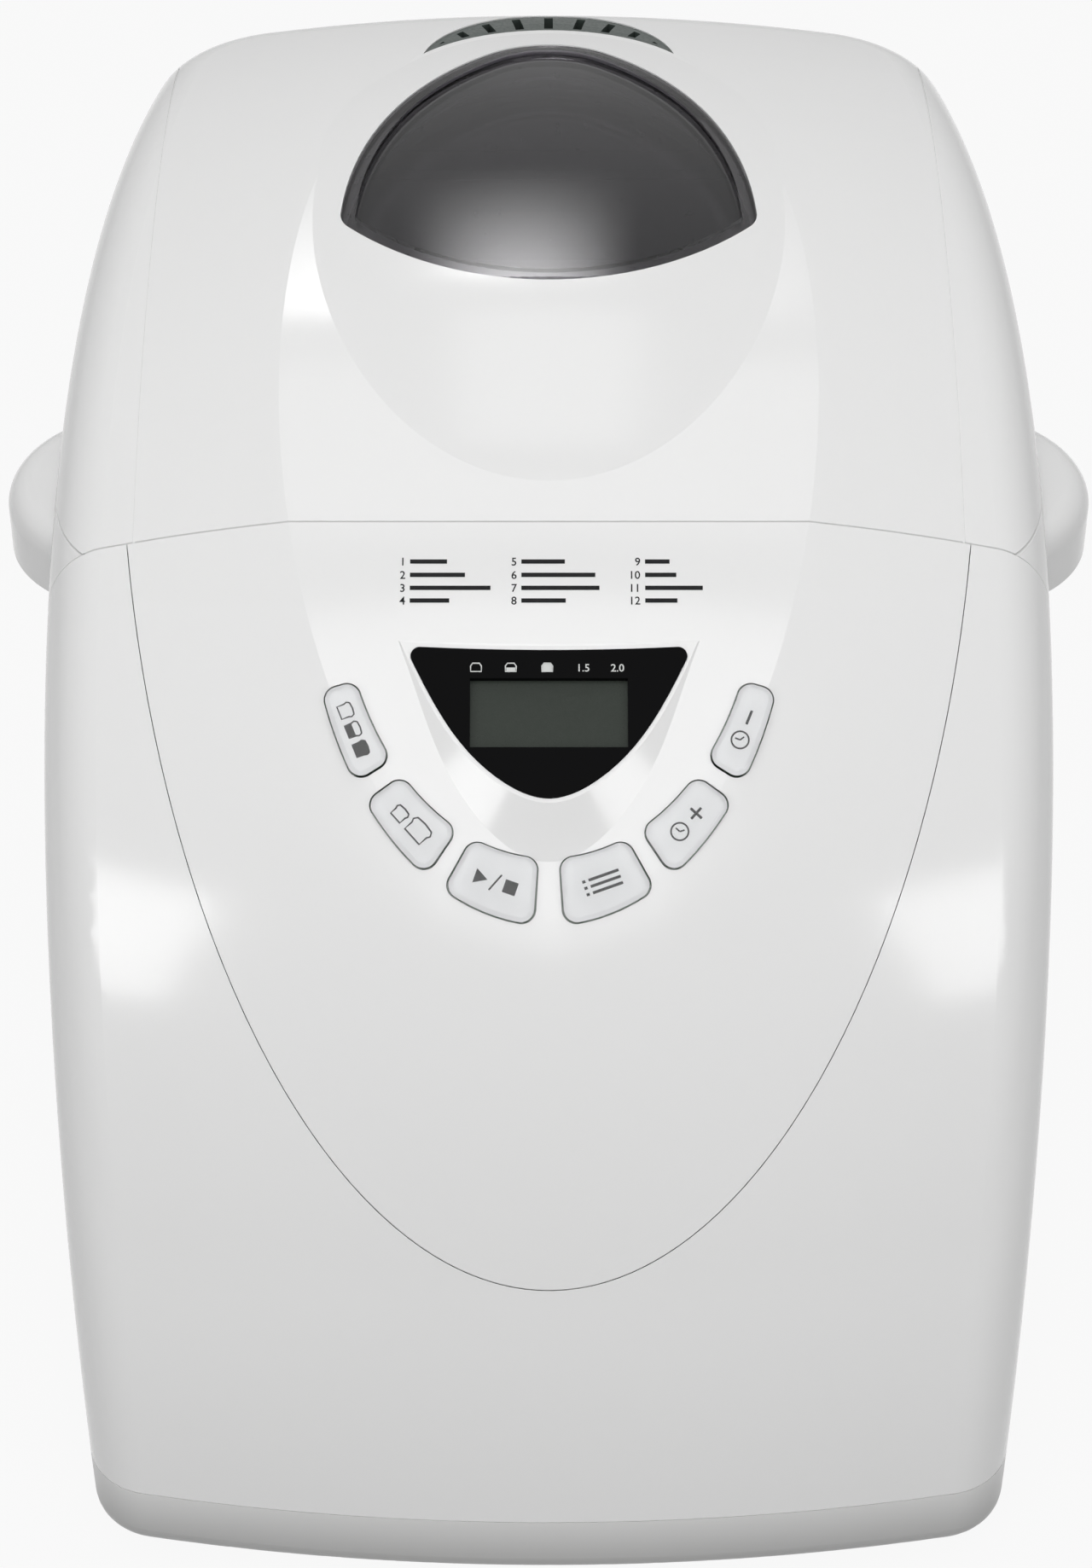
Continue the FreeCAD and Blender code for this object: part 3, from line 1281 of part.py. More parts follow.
brackets.append(cut("bracket_rear", rear_arm, rear_eye))
node(group("element_brackets_piece", brackets), "element_brackets")

# Bread pan with bayonet foot, bail handle and shaft bearing
socket_low = chamber_floor + chamber_sheet
socket_top = socket_low + socket_sheet
ring_low = socket_top + seat_gap
pan_top = pan_bottom + pan_height


def rounded_box_wire(half_x, half_y, corner, z):
    edges = []
    inner_x = half_x - corner
    inner_y = half_y - corner
    slant = corner * math.sqrt(0.5)
    quarter = [(1, 1), (-1, 1), (-1, -1), (1, -1)]
    for index, (sx, sy) in enumerate(quarter):
        ends = [Vector(sx * half_x, sy * inner_y, z), Vector(sx * inner_x, sy * half_y, z)]
        if sx * sy < 0:
            ends.reverse()
        middle = Vector(sx * (inner_x + slant), sy * (inner_y + slant), z)
        edges.append(Part.Arc(ends[0], middle, ends[1]).toShape())
        after = quarter[(index + 1) % 4]
        reach = Vector(after[0] * inner_x, after[1] * half_y, z)
        if after[0] == sx:
            reach = Vector(after[0] * half_x, after[1] * inner_y, z)
        edges.append(Part.makeLine(ends[1], reach))
    return Part.Wire(edges)


def pan_solid(inset, low, high, edge):
    """A tapered, round-cornered vessel form, with its lower edge rounded."""
    shrink = float(pan_taper)
    bottom = rounded_box_wire(float(pan_half_x) - shrink - inset, float(pan_half_y) - shrink - inset,
                              float(pan_corner) - inset, low)
    top = rounded_box_wire(float(pan_half_x) - inset, float(pan_half_y) - inset,
                           float(pan_corner) - inset, high)
    solid = Part.makeLoft([bottom, top], True, True)
    lower = [item for item in solid.Edges if item.BoundBox.ZMax < low + CLOSE]
    return solid.makeFillet(edge, lower)


pan_outer = feature("pan_outer", pan_solid(0.0, 0.0, float(pan_height), float(pan_edge_radius)))
place(pan_outer, 0, pan_y, pan_bottom)
pan_inner = feature("pan_inner", pan_solid(float(pan_wall), float(pan_wall), float(pan_height) + CLOSE,
                                           float(pan_edge_radius - pan_wall)))
place(pan_inner, 0, pan_y, pan_bottom)
pan_lip = tub("pan_lip", pan_half_x + pan_rim, pan_half_y + pan_rim, pan_corner + pan_rim, pan_y,
              pan_top - pan_rim, pan_top)
pivot_z = pan_top - bail_pivot_drop
boss_tip = pan_half_x + bail_boss_length
pan_bosses = []
pan_bores = []
for side, tag in ((-1, "left"), (1, "right")):
    near = pan_half_x - pan_taper
    start_x = near if side > 0 else -boss_tip
    pan_bosses.append(rod("bail_boss_" + tag, bail_boss_diameter, boss_tip - near, start_x, pan_y,
                          pivot_z, ALONG_X))
    hole_x = pan_half_x if side > 0 else -boss_tip - bail_boss_length
    pan_bores.append(rod("bail_hole_" + tag, bail_wire + bail_clearance * 2, bail_boss_length * 2,
                         hole_x, pan_y, pivot_z, ALONG_X))
pan_bores.append(rod("bearing_hole", pan_bearing_spigot + fit_clearance * 2, pan_wall * 6, 0, pan_y,
                     pan_bottom - pan_wall * 3))
pan_full = fuse("pan_full", pan_outer, pan_lip, *pan_bosses)
pan_cuts = group("pan_cuts", pan_bores)
node(cut("bread_pan_piece", cut("pan_hollow", pan_full, pan_inner), pan_cuts), "bread_pan")

# the bail lies folded forward, its legs outside the rim and its grip across the top of it
bail_rest_rise = float(bail_pivot_drop + bail_wire / 2 + bail_clearance)
bail_lean = math.asin(bail_rest_rise / float(bail_reach - bail_bend / 2))
bail_hip = float(boss_tip + bail_side_gap + bail_hip_bend)
bail_spots = []
for reach_x, reach in ((float(pan_half_x + bail_end_gap), 0), (bail_hip, 0), (bail_hip, float(bail_reach))):
    bail_spots.append(Vector(reach_x, -reach * math.cos(bail_lean), reach * math.sin(bail_lean)))
bail_spots = bail_spots + [Vector(-spot.x, spot.y, spot.z) for spot in reversed(bail_spots)]
bail_bends = [float(bail_hip_bend), float(bail_bend), float(bail_bend), float(bail_hip_bend)]
bail = feature("pan_handle_piece", tube(rounded_path(bail_spots, bail_bends), float(bail_wire)))
place(bail, 0, pan_y, pivot_z)
node(bail, "pan_handle")


def sector(name, outer, inner, height, z, middle_angle, span):
    """A curved block about the pan axis."""
    full = doc.addObject("Part::Cylinder", name + "_full")
    bind(full, "Radius", outer)
    bind(full, "Height", height)
    bind(full, "Angle", span)
    full.Placement = Placement(Vector(), Rotation(Vector(0, 0, 1), middle_angle - float(span) / 2))
    place(full, 0, pan_y, z)
    return cut(name, full, rod(name + "_core", rule(inner) * 2, rule(height) * 3, 0, pan_y, rule(z) - height))


foot_ring_radius = foot_ring_diameter / 2
lug_radius = foot_ring_radius + lug_reach
hook_radius = lug_radius + bayonet_clearance
hook_low = ring_low + lug_height + bayonet_clearance
ring_parts = [ring("foot_ring", foot_ring_diameter, foot_ring_diameter - foot_ring_wall * 2,
                   pan_bottom - ring_low, 0, pan_y, ring_low)]
socket_parts = [ring("socket_plate", socket_diameter, socket_bore, socket_sheet, 0, pan_y, socket_low)]
for index in range(lug_count):
    lug_angle = 360 / lug_count * (index + 0.5)
    ring_parts.append(sector("foot_lug_%d" % index, lug_radius, foot_ring_radius - foot_ring_wall / 2,
                             lug_height, ring_low, lug_angle, lug_span))
    socket_parts.append(sector("hook_wall_%d" % index, hook_radius + hook_wall, hook_radius,
                               hook_low + hook_roof - socket_low, socket_low, lug_angle, hook_span))
    socket_parts.append(sector("hook_roof_%d" % index, hook_radius + hook_wall,
                               foot_ring_radius + bayonet_clearance, hook_roof, hook_low, lug_angle, hook_span))
node(fuse("pan_foot_ring_piece", *ring_parts), "pan_foot_ring")
node(fuse("pan_socket_piece", *socket_parts), "pan_socket")

bearing_low = pan_bottom - pan_bearing_height
bore_radius = shaft_diameter / 2 + shaft_clearance
nose_top = pan_bearing_height + pan_wall + pan_bearing_nose
node(turned("pan_bearing_piece",
            [(bore_radius, 0), (pan_bearing_diameter / 2, 0), (pan_bearing_diameter / 2, pan_bearing_height),
             (pan_bearing_spigot / 2, pan_bearing_height), (pan_bearing_spigot / 2, nose_top),
             (bore_radius, nose_top)], 0, pan_y, bearing_low), "pan_bearing")
seal_low = bearing_low + nose_top
node(ring("shaft_seal_piece", seal_diameter, shaft_diameter + shaft_clearance * 2, seal_height,
          0, pan_y, seal_low), "shaft_seal")

# Kneading paddle on its shaft, driven through a wing by the two dogs of the coupler
wing_low = bearing_low - wing_gap - wing_height
paddle_low = seal_low + seal_height + paddle_lift
pan_shaft_top = paddle_low + paddle_bore_depth - paddle_lift
node(rod("pan_shaft_piece", shaft_diameter, pan_shaft_top - wing_low, 0, pan_y, wing_low), "pan_shaft")
wing_bar = fuse("wing_bar", block("wing_arm", wing_length, wing_width, wing_height, 0, pan_y, wing_low),
                rod("wing_hub", wing_hub_diameter, wing_height, 0, pan_y, wing_low))
wing_bore = rod("wing_bore", shaft_diameter + fit_clearance, wing_height * 3, 0, pan_y, wing_low - wing_height)
node(cut("wing_coupling_piece", wing_bar, wing_bore), "wing_coupling")
hub = doc.addObject("Part::Cone", "paddle_hub")
bind(hub, "Radius1", paddle_hub_diameter / 2)
bind(hub, "Radius2", paddle_hub_diameter / 2 - paddle_hub_taper)
bind(hub, "Height", paddle_hub_height)
place(hub, 0, pan_y, paddle_low)
blade_block = block("blade_block", paddle_length, paddle_thickness, paddle_height, paddle_length / 2,
                    pan_y, paddle_low)


def blade_tip(edge, middle):
    across = edge.BoundBox.YLength > float(paddle_thickness) - CLOSE
    at_end = middle.x > float(paddle_length) - CLOSE
    return across and at_end and middle.z > float(paddle_low + paddle_height) - CLOSE


blade = rounded("blade", blade_block, paddle_tip_radius, blade_tip)
paddle_solid = fuse("paddle_solid", hub, blade)
node(cut("kneading_paddle_piece", paddle_solid,
         rod("paddle_bore", shaft_diameter + paddle_fit * 2, paddle_bore_depth * 2, 0, pan_y,
             paddle_low - paddle_bore_depth)),
     "kneading_paddle")

# Chassis, shaft bearing and drive coupler
chassis_length = chassis_front_reach + chassis_rear_reach
chassis_mid = pan_y + (chassis_rear_reach - chassis_front_reach) / 2
chassis_block = block("chassis_block", chassis_half_x * 2, chassis_length, chassis_sheet, 0, chassis_mid,
                      chassis_height)


def plate_corner(edge, middle):
    return edge.BoundBox.ZLength > float(chassis_sheet) - CLOSE


chassis_blank = rounded("chassis_blank", chassis_block, chassis_corner, plate_corner)
chassis_holes = group("chassis_holes",
                      [rod("bearing_spigot_hole", bearing_tube_diameter + fit_clearance * 2,
                           chassis_sheet * 3, 0, pan_y, chassis_height - chassis_sheet),
                       rod("motor_shaft_hole", motor_shaft_opening, chassis_sheet * 3, 0, motor_y,
                           chassis_height - chassis_sheet)])
chassis_bored = cut("chassis_bored", chassis_blank, chassis_holes)
node(cut("chassis_plate_piece", chassis_bored, screw_bore_set), "chassis_plate")

standoffs = []
for side, tag in ((-1, "left"), (1, "right")):
    for way, end in ((-1, "front"), (1, "rear")):
        standoffs.append(rod("standoff_%s_%s" % (tag, end), standoff_diameter, chamber_floor - chassis_top,
                             standoff_half_x * side, pan_y + standoff_half_y * way, chassis_top))
node(group("chamber_standoffs_piece", standoffs), "chamber_standoffs")

tube_top = bearing_spigot + chamber_floor - bearing_top_gap - chassis_top
flange_top = bearing_spigot + bearing_flange_sheet
node(turned("bearing_housing_piece",
            [(bearing_bore / 2, 0), (bearing_tube_diameter / 2, 0), (bearing_tube_diameter / 2, bearing_spigot),
             (bearing_flange_diameter / 2, bearing_spigot), (bearing_flange_diameter / 2, flange_top),
             (bearing_tube_diameter / 2, flange_top), (bearing_tube_diameter / 2, tube_top),
             (bearing_bore / 2, tube_top)], 0, pan_y, chassis_top - bearing_spigot), "bearing_housing")
shaft_bushes = []
upper_bush_low = chamber_floor - bearing_top_gap - bush_height
for tag, low in (("lower", chassis_top - bearing_spigot), ("upper", upper_bush_low)):
    shaft_bushes.append(ring("shaft_bush_" + tag, bearing_bore - fit_clearance,
                             shaft_diameter + shaft_clearance * 2, bush_height, 0, pan_y, low))
node(group("shaft_bushes_piece", shaft_bushes), "shaft_bushes")

coupler_low = chamber_floor + chamber_sheet + coupler_lift
node(rod("drive_shaft_piece", shaft_diameter, coupler_low + coupler_disc - shaft_tail, 0, pan_y, shaft_tail),
     "drive_shaft")
coupler_parts = [ring("coupler_plate", coupler_diameter, shaft_diameter + fit_clearance, coupler_disc, 0, pan_y,
                      coupler_low)]
for side, tag in ((-1, "front"), (1, "rear")):
    coupler_parts.append(block("dog_" + tag, dog_width, dog_radial, coupler_disc + dog_height, 0,
                               pan_y + (coupler_diameter / 2 - dog_radial / 2 - dog_inset) * side, coupler_low))
node(fuse("drive_coupler_piece", *coupler_parts), "drive_coupler")

# Pulleys and belt
shaft_fit = shaft_diameter / 2 + fit_clearance / 2
big = large_pulley_diameter / 2
web_low = (pulley_width - large_pulley_web) / 2
web_high = web_low + large_pulley_web
hub_radius = large_pulley_hub / 2
rim_radius = big - large_pulley_rim
flange_radius = big + pulley_flange_lip
upper_flange = pulley_width - pulley_flange
node(turned("large_pulley_piece",
            [(shaft_fit, 0), (hub_radius, 0), (hub_radius, web_low), (rim_radius, web_low), (rim_radius, 0),
             (flange_radius, 0), (flange_radius, pulley_flange), (big, pulley_flange), (big, upper_flange),
             (flange_radius, upper_flange), (flange_radius, pulley_width), (rim_radius, pulley_width),
             (rim_radius, web_high), (hub_radius, web_high), (hub_radius, pulley_width),
             (shaft_fit, pulley_width)],
            0, pan_y, pulley_bottom), "large_pulley")
little = small_pulley_diameter / 2
little_flange = little + pulley_flange_lip
node(turned("motor_pulley_piece",
            [(shaft_fit, 0), (little_flange, 0), (little_flange, pulley_flange), (little, pulley_flange),
             (little, upper_flange), (little_flange, upper_flange), (little_flange, pulley_width),
             (shaft_fit, pulley_width)], 0, motor_y, pulley_bottom), "motor_pulley")


def belt_wire(gap):
    """Open-belt loop: both arcs and the two straight runs that touch them."""
    large = float(big) + gap
    small = float(little) + gap
    rear = float(pan_y)
    front = float(motor_y)
    lean = math.asin((large - small) / (rear - front))

    def spot(radius, middle, side):
        return Vector(side * radius * math.cos(lean), middle - radius * math.sin(lean), 0)

    rear_arc = Part.Arc(spot(large, rear, 1), Vector(0, rear + large, 0), spot(large, rear, -1))
    front_arc = Part.Arc(spot(small, front, -1), Vector(0, front - small, 0), spot(small, front, 1))
    return Part.Wire([rear_arc.toShape(),
                      Part.makeLine(spot(large, rear, -1), spot(small, front, -1)),
                      front_arc.toShape(),
                      Part.makeLine(spot(small, front, 1), spot(large, rear, 1))])


belt_height = float(pulley_width - pulley_flange * 2 - belt_side_gap * 2)
belt_outer = Part.Face(belt_wire(float(belt_gap + belt_thickness))).extrude(Vector(0, 0, belt_height))
belt_inner = Part.Face(belt_wire(float(belt_gap))).extrude(Vector(0, 0, belt_height))
belt = feature("drive_belt_piece", belt_outer.cut(belt_inner))
place(belt, 0, 0, pulley_bottom + pulley_flange + belt_side_gap)
node(belt, "drive_belt")

# Motor on its grommets, with rotor, fan and run capacitor
bracket_low = chassis_top + grommet_height
stator_low = bracket_low + bracket_cup
stator_high = stator_low + stator_height
motor_high = stator_high + bracket_cup
grommets = []
for side, tag in ((-1, "left"), (1, "right")):
    grommets.append(rod("grommet_" + tag, grommet_diameter, grommet_height,
                        (motor_ear_reach - grommet_diameter / 2) * side, motor_y, chassis_top))
node(group("motor_grommets_piece", grommets), "motor_grommets")


def motor_cup(tag, low, plate_low):
    shell = ring("cup_wall_" + tag, motor_diameter, motor_diameter - bracket_sheet * 2, bracket_cup,
                 0, motor_y, low)
    plate = rod("cup_plate_" + tag, motor_diameter, bracket_sheet, 0, motor_y, plate_low)
    members = [shell, plate]
    if tag == "lower":
        members.append(block("cup_ears", motor_ear_reach * 2, motor_ear_width, bracket_sheet,
                             0, motor_y, plate_low))
    bore = rod("cup_bore_" + tag, shaft_diameter + shaft_clearance * 2, bracket_cup * 3,
               0, motor_y, low - bracket_cup)
    return cut("motor_cup_" + tag, fuse("cup_solid_" + tag, *members), bore)


motor_cups = [motor_cup("lower", bracket_low, bracket_low),
              motor_cup("upper", stator_high, motor_high - bracket_sheet)]
node(group("motor_brackets_piece", motor_cups), "motor_end_brackets")
node(ring("motor_stator_piece", motor_diameter, motor_bore, stator_height, 0, motor_y, stator_low),
     "motor_stator")
core_radius = motor_bore / 2 - motor_air_gap
core_low = stator_low - shaft_tail
core_high = stator_high - shaft_tail
fan_low = motor_high + fan_gap
shaft_high = fan_low + fan_height + shaft_top - shaft_tail
shaft_radius = shaft_diameter / 2
node(turned("motor_rotor_piece",
            [(0, 0), (shaft_radius, 0), (shaft_radius, core_low), (core_radius, core_low),
             (core_radius, core_high), (shaft_radius, core_high), (shaft_radius, shaft_high),
             (0, shaft_high)], 0, motor_y, shaft_tail), "motor_rotor")
fan_parts = [rod("fan_disc", fan_diameter, fan_sheet, 0, motor_y, fan_low),
             rod("fan_boss", fan_hub, fan_height, 0, motor_y, fan_low)]
for index in range(fan_blades):
    blade_turn = Rotation(Vector(0, 0, 1), 360 * index / fan_blades)
    vane = doc.addObject("Part::Box", "fan_vane_%d" % index)
    bind(vane, "Length", fan_diameter / 2 - fan_hub / 4)
    bind(vane, "Width", fan_sheet)
    bind(vane, "Height", fan_height)
    offset = blade_turn.multVec(Vector(float(fan_hub) / 4, -float(fan_sheet) / 2, 0))
    vane.Placement = Placement(Vector(), blade_turn)
    fan_parts.append(place(vane, offset.x, motor_y + offset.y, fan_low))
fan_bore = rod("fan_bore", shaft_diameter + fit_clearance, fan_height * 3, 0, motor_y, fan_low - fan_height)
node(cut("motor_fan_piece", fuse("fan_solid", *fan_parts), fan_bore), "motor_fan")
node(block("motor_capacitor_piece", capacitor_width, capacitor_length, capacitor_height, -capacitor_x, motor_y,
           chassis_top), "motor_capacitor")

# Power board beside the motor
board_low = chassis_top + power_board_lift
board_top = board_low + board_thickness
node(block("power_board_piece", power_board_width, power_board_length, board_thickness, power_board_x, motor_y,
           board_low), "power_board")
spacers = []
for side, tag in ((-1, "left"), (1, "right")):
    for way, end in ((-1, "front"), (1, "rear")):
        spacers.append(rod("board_spacer_%s_%s" % (tag, end), spacer_diameter, power_board_lift,
                           power_board_x + (power_board_width / 2 - spacer_diameter) * side,
                           motor_y + (power_board_length / 2 - spacer_diameter) * way, chassis_top))
node(group("board_spacers_piece", spacers), "board_spacers")
transformer_y = motor_y + power_board_length / 2 - component_gap - transformer_side / 2
relay_y = transformer_y - transformer_side / 2 - component_gap - relay_length / 2
node(group("power_components_piece",
           [block("transformer", transformer_side, transformer_side, transformer_height,
                  power_board_x, transformer_y, board_top),
            block("relay", relay_width, relay_length, relay_height, power_board_x + component_gap,
                  relay_y, board_top),
            rod("smoothing_capacitor", smoothing_diameter, smoothing_height, power_board_x - relay_width / 2
                - component_gap, relay_y, board_top)]), "power_components")

doc.recompute()
for item in doc.Objects:
    if "Invalid" in item.State or "Error" in item.State:
        raise RuntimeError("%s is %s" % (item.Name, item.State))
for item in nodes:
    if item.Shape.isNull() or not item.Shape.isValid():
        raise RuntimeError("%s has no valid shape" % item.Label)
os.makedirs("parts", exist_ok=True)
for item in nodes:
    item.Shape.exportStep("parts/%s.step" % item.Label)
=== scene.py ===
import bpy
import json
import math
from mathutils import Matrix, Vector


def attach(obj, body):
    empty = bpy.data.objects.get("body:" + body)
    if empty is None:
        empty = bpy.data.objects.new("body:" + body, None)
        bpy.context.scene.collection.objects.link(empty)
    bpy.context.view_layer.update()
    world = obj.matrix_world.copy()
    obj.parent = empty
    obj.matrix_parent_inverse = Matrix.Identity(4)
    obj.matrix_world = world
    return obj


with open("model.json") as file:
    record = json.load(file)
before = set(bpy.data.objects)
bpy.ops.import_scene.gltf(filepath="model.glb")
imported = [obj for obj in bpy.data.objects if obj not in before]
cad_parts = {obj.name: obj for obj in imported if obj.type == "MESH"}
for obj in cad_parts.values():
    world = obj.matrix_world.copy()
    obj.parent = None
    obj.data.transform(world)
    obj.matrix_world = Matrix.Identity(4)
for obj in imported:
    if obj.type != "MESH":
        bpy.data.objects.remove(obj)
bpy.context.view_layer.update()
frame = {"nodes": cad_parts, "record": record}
nodes = frame["nodes"]
scene = bpy.context.scene
scene.view_settings.view_transform = "Standard"
MM = 0.001

# Sizes of the CAD form that the finishes and the print follow, in millimetres
FOOT_HEIGHT, TRAY_HEIGHT = 8.0, 19.0
FRONT_Y = -178.3
PROFILE_RADIUS, AXIS_DROP = 280.0, 6.0
AXIS_Y = FRONT_Y + math.sqrt(PROFILE_RADIUS ** 2 - (FOOT_HEIGHT + AXIS_DROP) ** 2)
CHANNEL_RADIUS, CHANNEL_DEPTH = 308.6, 3.92
CHANNEL_TURN = math.radians(20)
CHANNEL_THROW = PROFILE_RADIUS - CHANNEL_DEPTH - CHANNEL_RADIUS
CHANNEL_Y = AXIS_Y - CHANNEL_THROW * math.sin(CHANNEL_TURN)
CHANNEL_Z = -AXIS_DROP + CHANNEL_THROW * math.cos(CHANNEL_TURN)
DOME_RADIUS, DOME_CROWN, DOME_HEIGHT = 222.0, 372.0, 5.0
DOME_TURN = math.radians(10.5)
DOME_THROW = CHANNEL_RADIUS + DOME_HEIGHT - DOME_RADIUS
DOME_Y = CHANNEL_Y - DOME_THROW * math.sin(DOME_TURN)
DOME_Z = CHANNEL_Z + DOME_THROW * math.cos(DOME_TURN)


# Materials

NOISE_LOW, NOISE_HIGH = 0.3, 0.7
TONE_DETAIL, GRAIN_DETAIL = 3.0, 2.0


def blank(name):
    mat = bpy.data.materials.new(name)
    mat.use_nodes = True
    tree = mat.node_tree
    return mat, tree, tree.nodes["Principled BSDF"]


def own_place(tree):
    """The piece's own coordinates, in metres."""
    return tree.nodes.new("ShaderNodeTexCoord").outputs["Object"]


def split(tree, source):
    parts = tree.nodes.new("ShaderNodeSeparateXYZ")
    tree.links.new(source, parts.inputs["Vector"])
    return parts.outputs


def length_of(tree, source):
    reach = tree.nodes.new("ShaderNodeVectorMath")
    reach.operation = "LENGTH"
    tree.links.new(source, reach.inputs[0])
    return reach.outputs["Value"]


def calculate(tree, operation, first, second):
    """One step of arithmetic on sockets or plain numbers."""
    step = tree.nodes.new("ShaderNodeMath")
    step.operation = operation
    for socket, value in zip(step.inputs, (first, second)):
        if isinstance(value, (int, float)):
            socket.default_value = value
        else:
            tree.links.new(value, socket)
    return step.outputs["Value"]


def ramped(tree, source, start, finish_at, low, high):
    """A value that runs from low to high while its source runs between two limits."""
    ramp = tree.nodes.new("ShaderNodeMapRange")
    ramp.inputs["From Min"].default_value = start
    ramp.inputs["From Max"].default_value = finish_at
    ramp.inputs["To Min"].default_value = low
    ramp.inputs["To Max"].default_value = high
    tree.links.new(source, ramp.inputs["Value"])
    return ramp.outputs["Result"]


def noise(tree, scale, detail):
    field = tree.nodes.new("ShaderNodeTexNoise")
    field.inputs["Scale"].default_value = scale
    field.inputs["Detail"].default_value = detail
    tree.links.new(own_place(tree), field.inputs["Vector"])
    return field.outputs["Fac"]


def spread(tree, source, low, high):
    return ramped(tree, source, NOISE_LOW, NOISE_HIGH, low, high)


def tinted(tree, source, dark, light):
    ramp = tree.nodes.new("ShaderNodeValToRGB")
    ends = ((NOISE_LOW, dark), (NOISE_HIGH, light))
    for element, (position, colour) in zip(ramp.color_ramp.elements, ends):
        element.position = position
        element.color = (*colour, 1)
    tree.links.new(source, ramp.inputs["Fac"])
    return ramp.outputs["Color"]


def bumped(tree, source, distance):
    bump = tree.nodes.new("ShaderNodeBump")
    bump.inputs["Distance"].default_value = distance
    bump.inputs["Strength"].default_value = 1.0
    tree.links.new(source, bump.inputs["Height"])
    return bump.outputs["Normal"]


def shade(colour, factor):
    return tuple(min(1.0, channel * factor) for channel in colour)


def overlaid(tree, shader, blend):
    """A mix laid over the shader's base colour; its factor and its second colour are left to set."""
    mix = tree.nodes.new("ShaderNodeMix")
    mix.data_type = "RGBA"
    mix.blend_type = blend
    colour = shader.inputs["Base Color"]
    tree.links.new(colour.links[0].from_socket, mix.inputs["A"])
    tree.links.new(mix.outputs["Result"], colour)
    return mix


def surface(name, colour, rough, vary, tone_scale, grain_scale, grain, metal=0.0, rough_vary=0.25, specular=0.5):
    """A moulded, cast or sheet finish: slow tone drift, uneven gloss and a fine grain."""
    mat, tree, shader = blank(name)
    drift = noise(tree, tone_scale, TONE_DETAIL)
    fine = noise(tree, grain_scale, GRAIN_DETAIL)
    tone = tinted(tree, drift, shade(colour, 1 - vary), shade(colour, 1 + vary))
    gloss = spread(tree, fine, rough * (1 - rough_vary), rough * (1 + rough_vary))
    tree.links.new(tone, shader.inputs["Base Color"])
    tree.links.new(gloss, shader.inputs["Roughness"])
    tree.links.new(bumped(tree, fine, grain), shader.inputs["Normal"])
    shader.inputs["Metallic"].default_value = metal
    shader.inputs["Specular IOR Level"].default_value = specular
    return mat, tree, shader


CLEAR_SCALE, CLEAR_SWIRL = 60, 0.0000015
CLEAR_TONE, CLEAR_GLOSS = 0.02, 0.4


def clear(name, colour, rough, ior):
    """A clear plastic or glass with a faint swirl."""
    mat, tree, shader = blank(name)
    drift = noise(tree, CLEAR_SCALE, GRAIN_DETAIL)
    tone = tinted(tree, drift, shade(colour, 1 - CLEAR_TONE), shade(colour, 1 + CLEAR_TONE))
    gloss = spread(tree, drift, rough * (1 - CLEAR_GLOSS), rough * (1 + CLEAR_GLOSS))
    tree.links.new(tone, shader.inputs["Base Color"])
    tree.links.new(gloss, shader.inputs["Roughness"])
    tree.links.new(bumped(tree, drift, CLEAR_SWIRL), shader.inputs["Normal"])
    shader.inputs["Transmission Weight"].default_value = 1.0
    shader.inputs["IOR"].default_value = ior
    return mat, tree, shader


# slot: name, colour, roughness, tone drift, its scale, grain scale, grain depth and metal
FINISHES = {
    "dark_plastic": ("dark_green_grey", (0.060, 0.075, 0.068), 0.38, 0.08, 30, 1200, 0.00001, 0.0),
    "liner_metal": ("aluminised_sheet", (0.55, 0.55, 0.56), 0.36, 0.05, 40, 260, 0.000006, 1.0),
    "steel": ("bright_steel", (0.60, 0.60, 0.61), 0.24, 0.05, 60, 900, 0.000004, 1.0),
    "heater_sheath": ("oxidised_sheath", (0.16, 0.145, 0.135), 0.45, 0.25, 80, 900, 0.00001, 0.8),
    "nonstick": ("non_stick", (0.055, 0.055, 0.058), 0.40, 0.12, 120, 2200, 0.00001, 0.15),
    "cast_aluminium": ("cast_aluminium", (0.52, 0.52, 0.53), 0.42, 0.07, 70, 1100, 0.00003, 1.0),
    "bronze": ("sintered_bronze", (0.42, 0.28, 0.13), 0.42, 0.1, 160, 2400, 0.00001, 1.0),
    "black_rubber": ("black_rubber", (0.022, 0.022, 0.023), 0.72, 0.15, 60, 1500, 0.00003, 0.0),
    "ceramic": ("glazed_ceramic", (0.78, 0.74, 0.65), 0.22, 0.04, 90, 900, 0.000005, 0.0),
    "board": ("board_laminate", (0.035, 0.14, 0.055), 0.38, 0.12, 50, 1800, 0.00001, 0.0),
    "board_fittings": ("moulded_fittings", (0.06, 0.06, 0.065), 0.45, 0.12, 90, 1500, 0.00001, 0.0),
    "drive_plastic": ("moulded_nylon", (0.72, 0.68, 0.58), 0.42, 0.05, 60, 1300, 0.00001, 0.0),
}
finish = {slot: surface(*values)[0] for slot, values in FINISHES.items()}

# The shell is evenly glossy, because uneven gloss looks blotchy where it is seen at a low angle
finish["white_shell"] = surface("white_abs", (0.838, 0.838, 0.836), 0.135, 0.006, 9, 420, 0.000003,
                                rough_vary=0.06)[0]
finish["black_gloss"] = surface("gloss_black", (0.0012, 0.0012, 0.0015), 0.07, 0.1, 20, 500, 0.000001,
                                specular=0.02)[0]
finish["display"] = surface("display_glass", (0.036, 0.043, 0.036), 0.32, 0.05, 26, 1500, 0.000002,
                            specular=0.10)[0]
finish["clear_key"] = clear("clear_key", (0.97, 0.975, 0.98), 0.02, 1.40)[0]
finish["clear_glass"] = clear("window_glass", (0.80, 0.83, 0.82), 0.02, 1.5)[0]

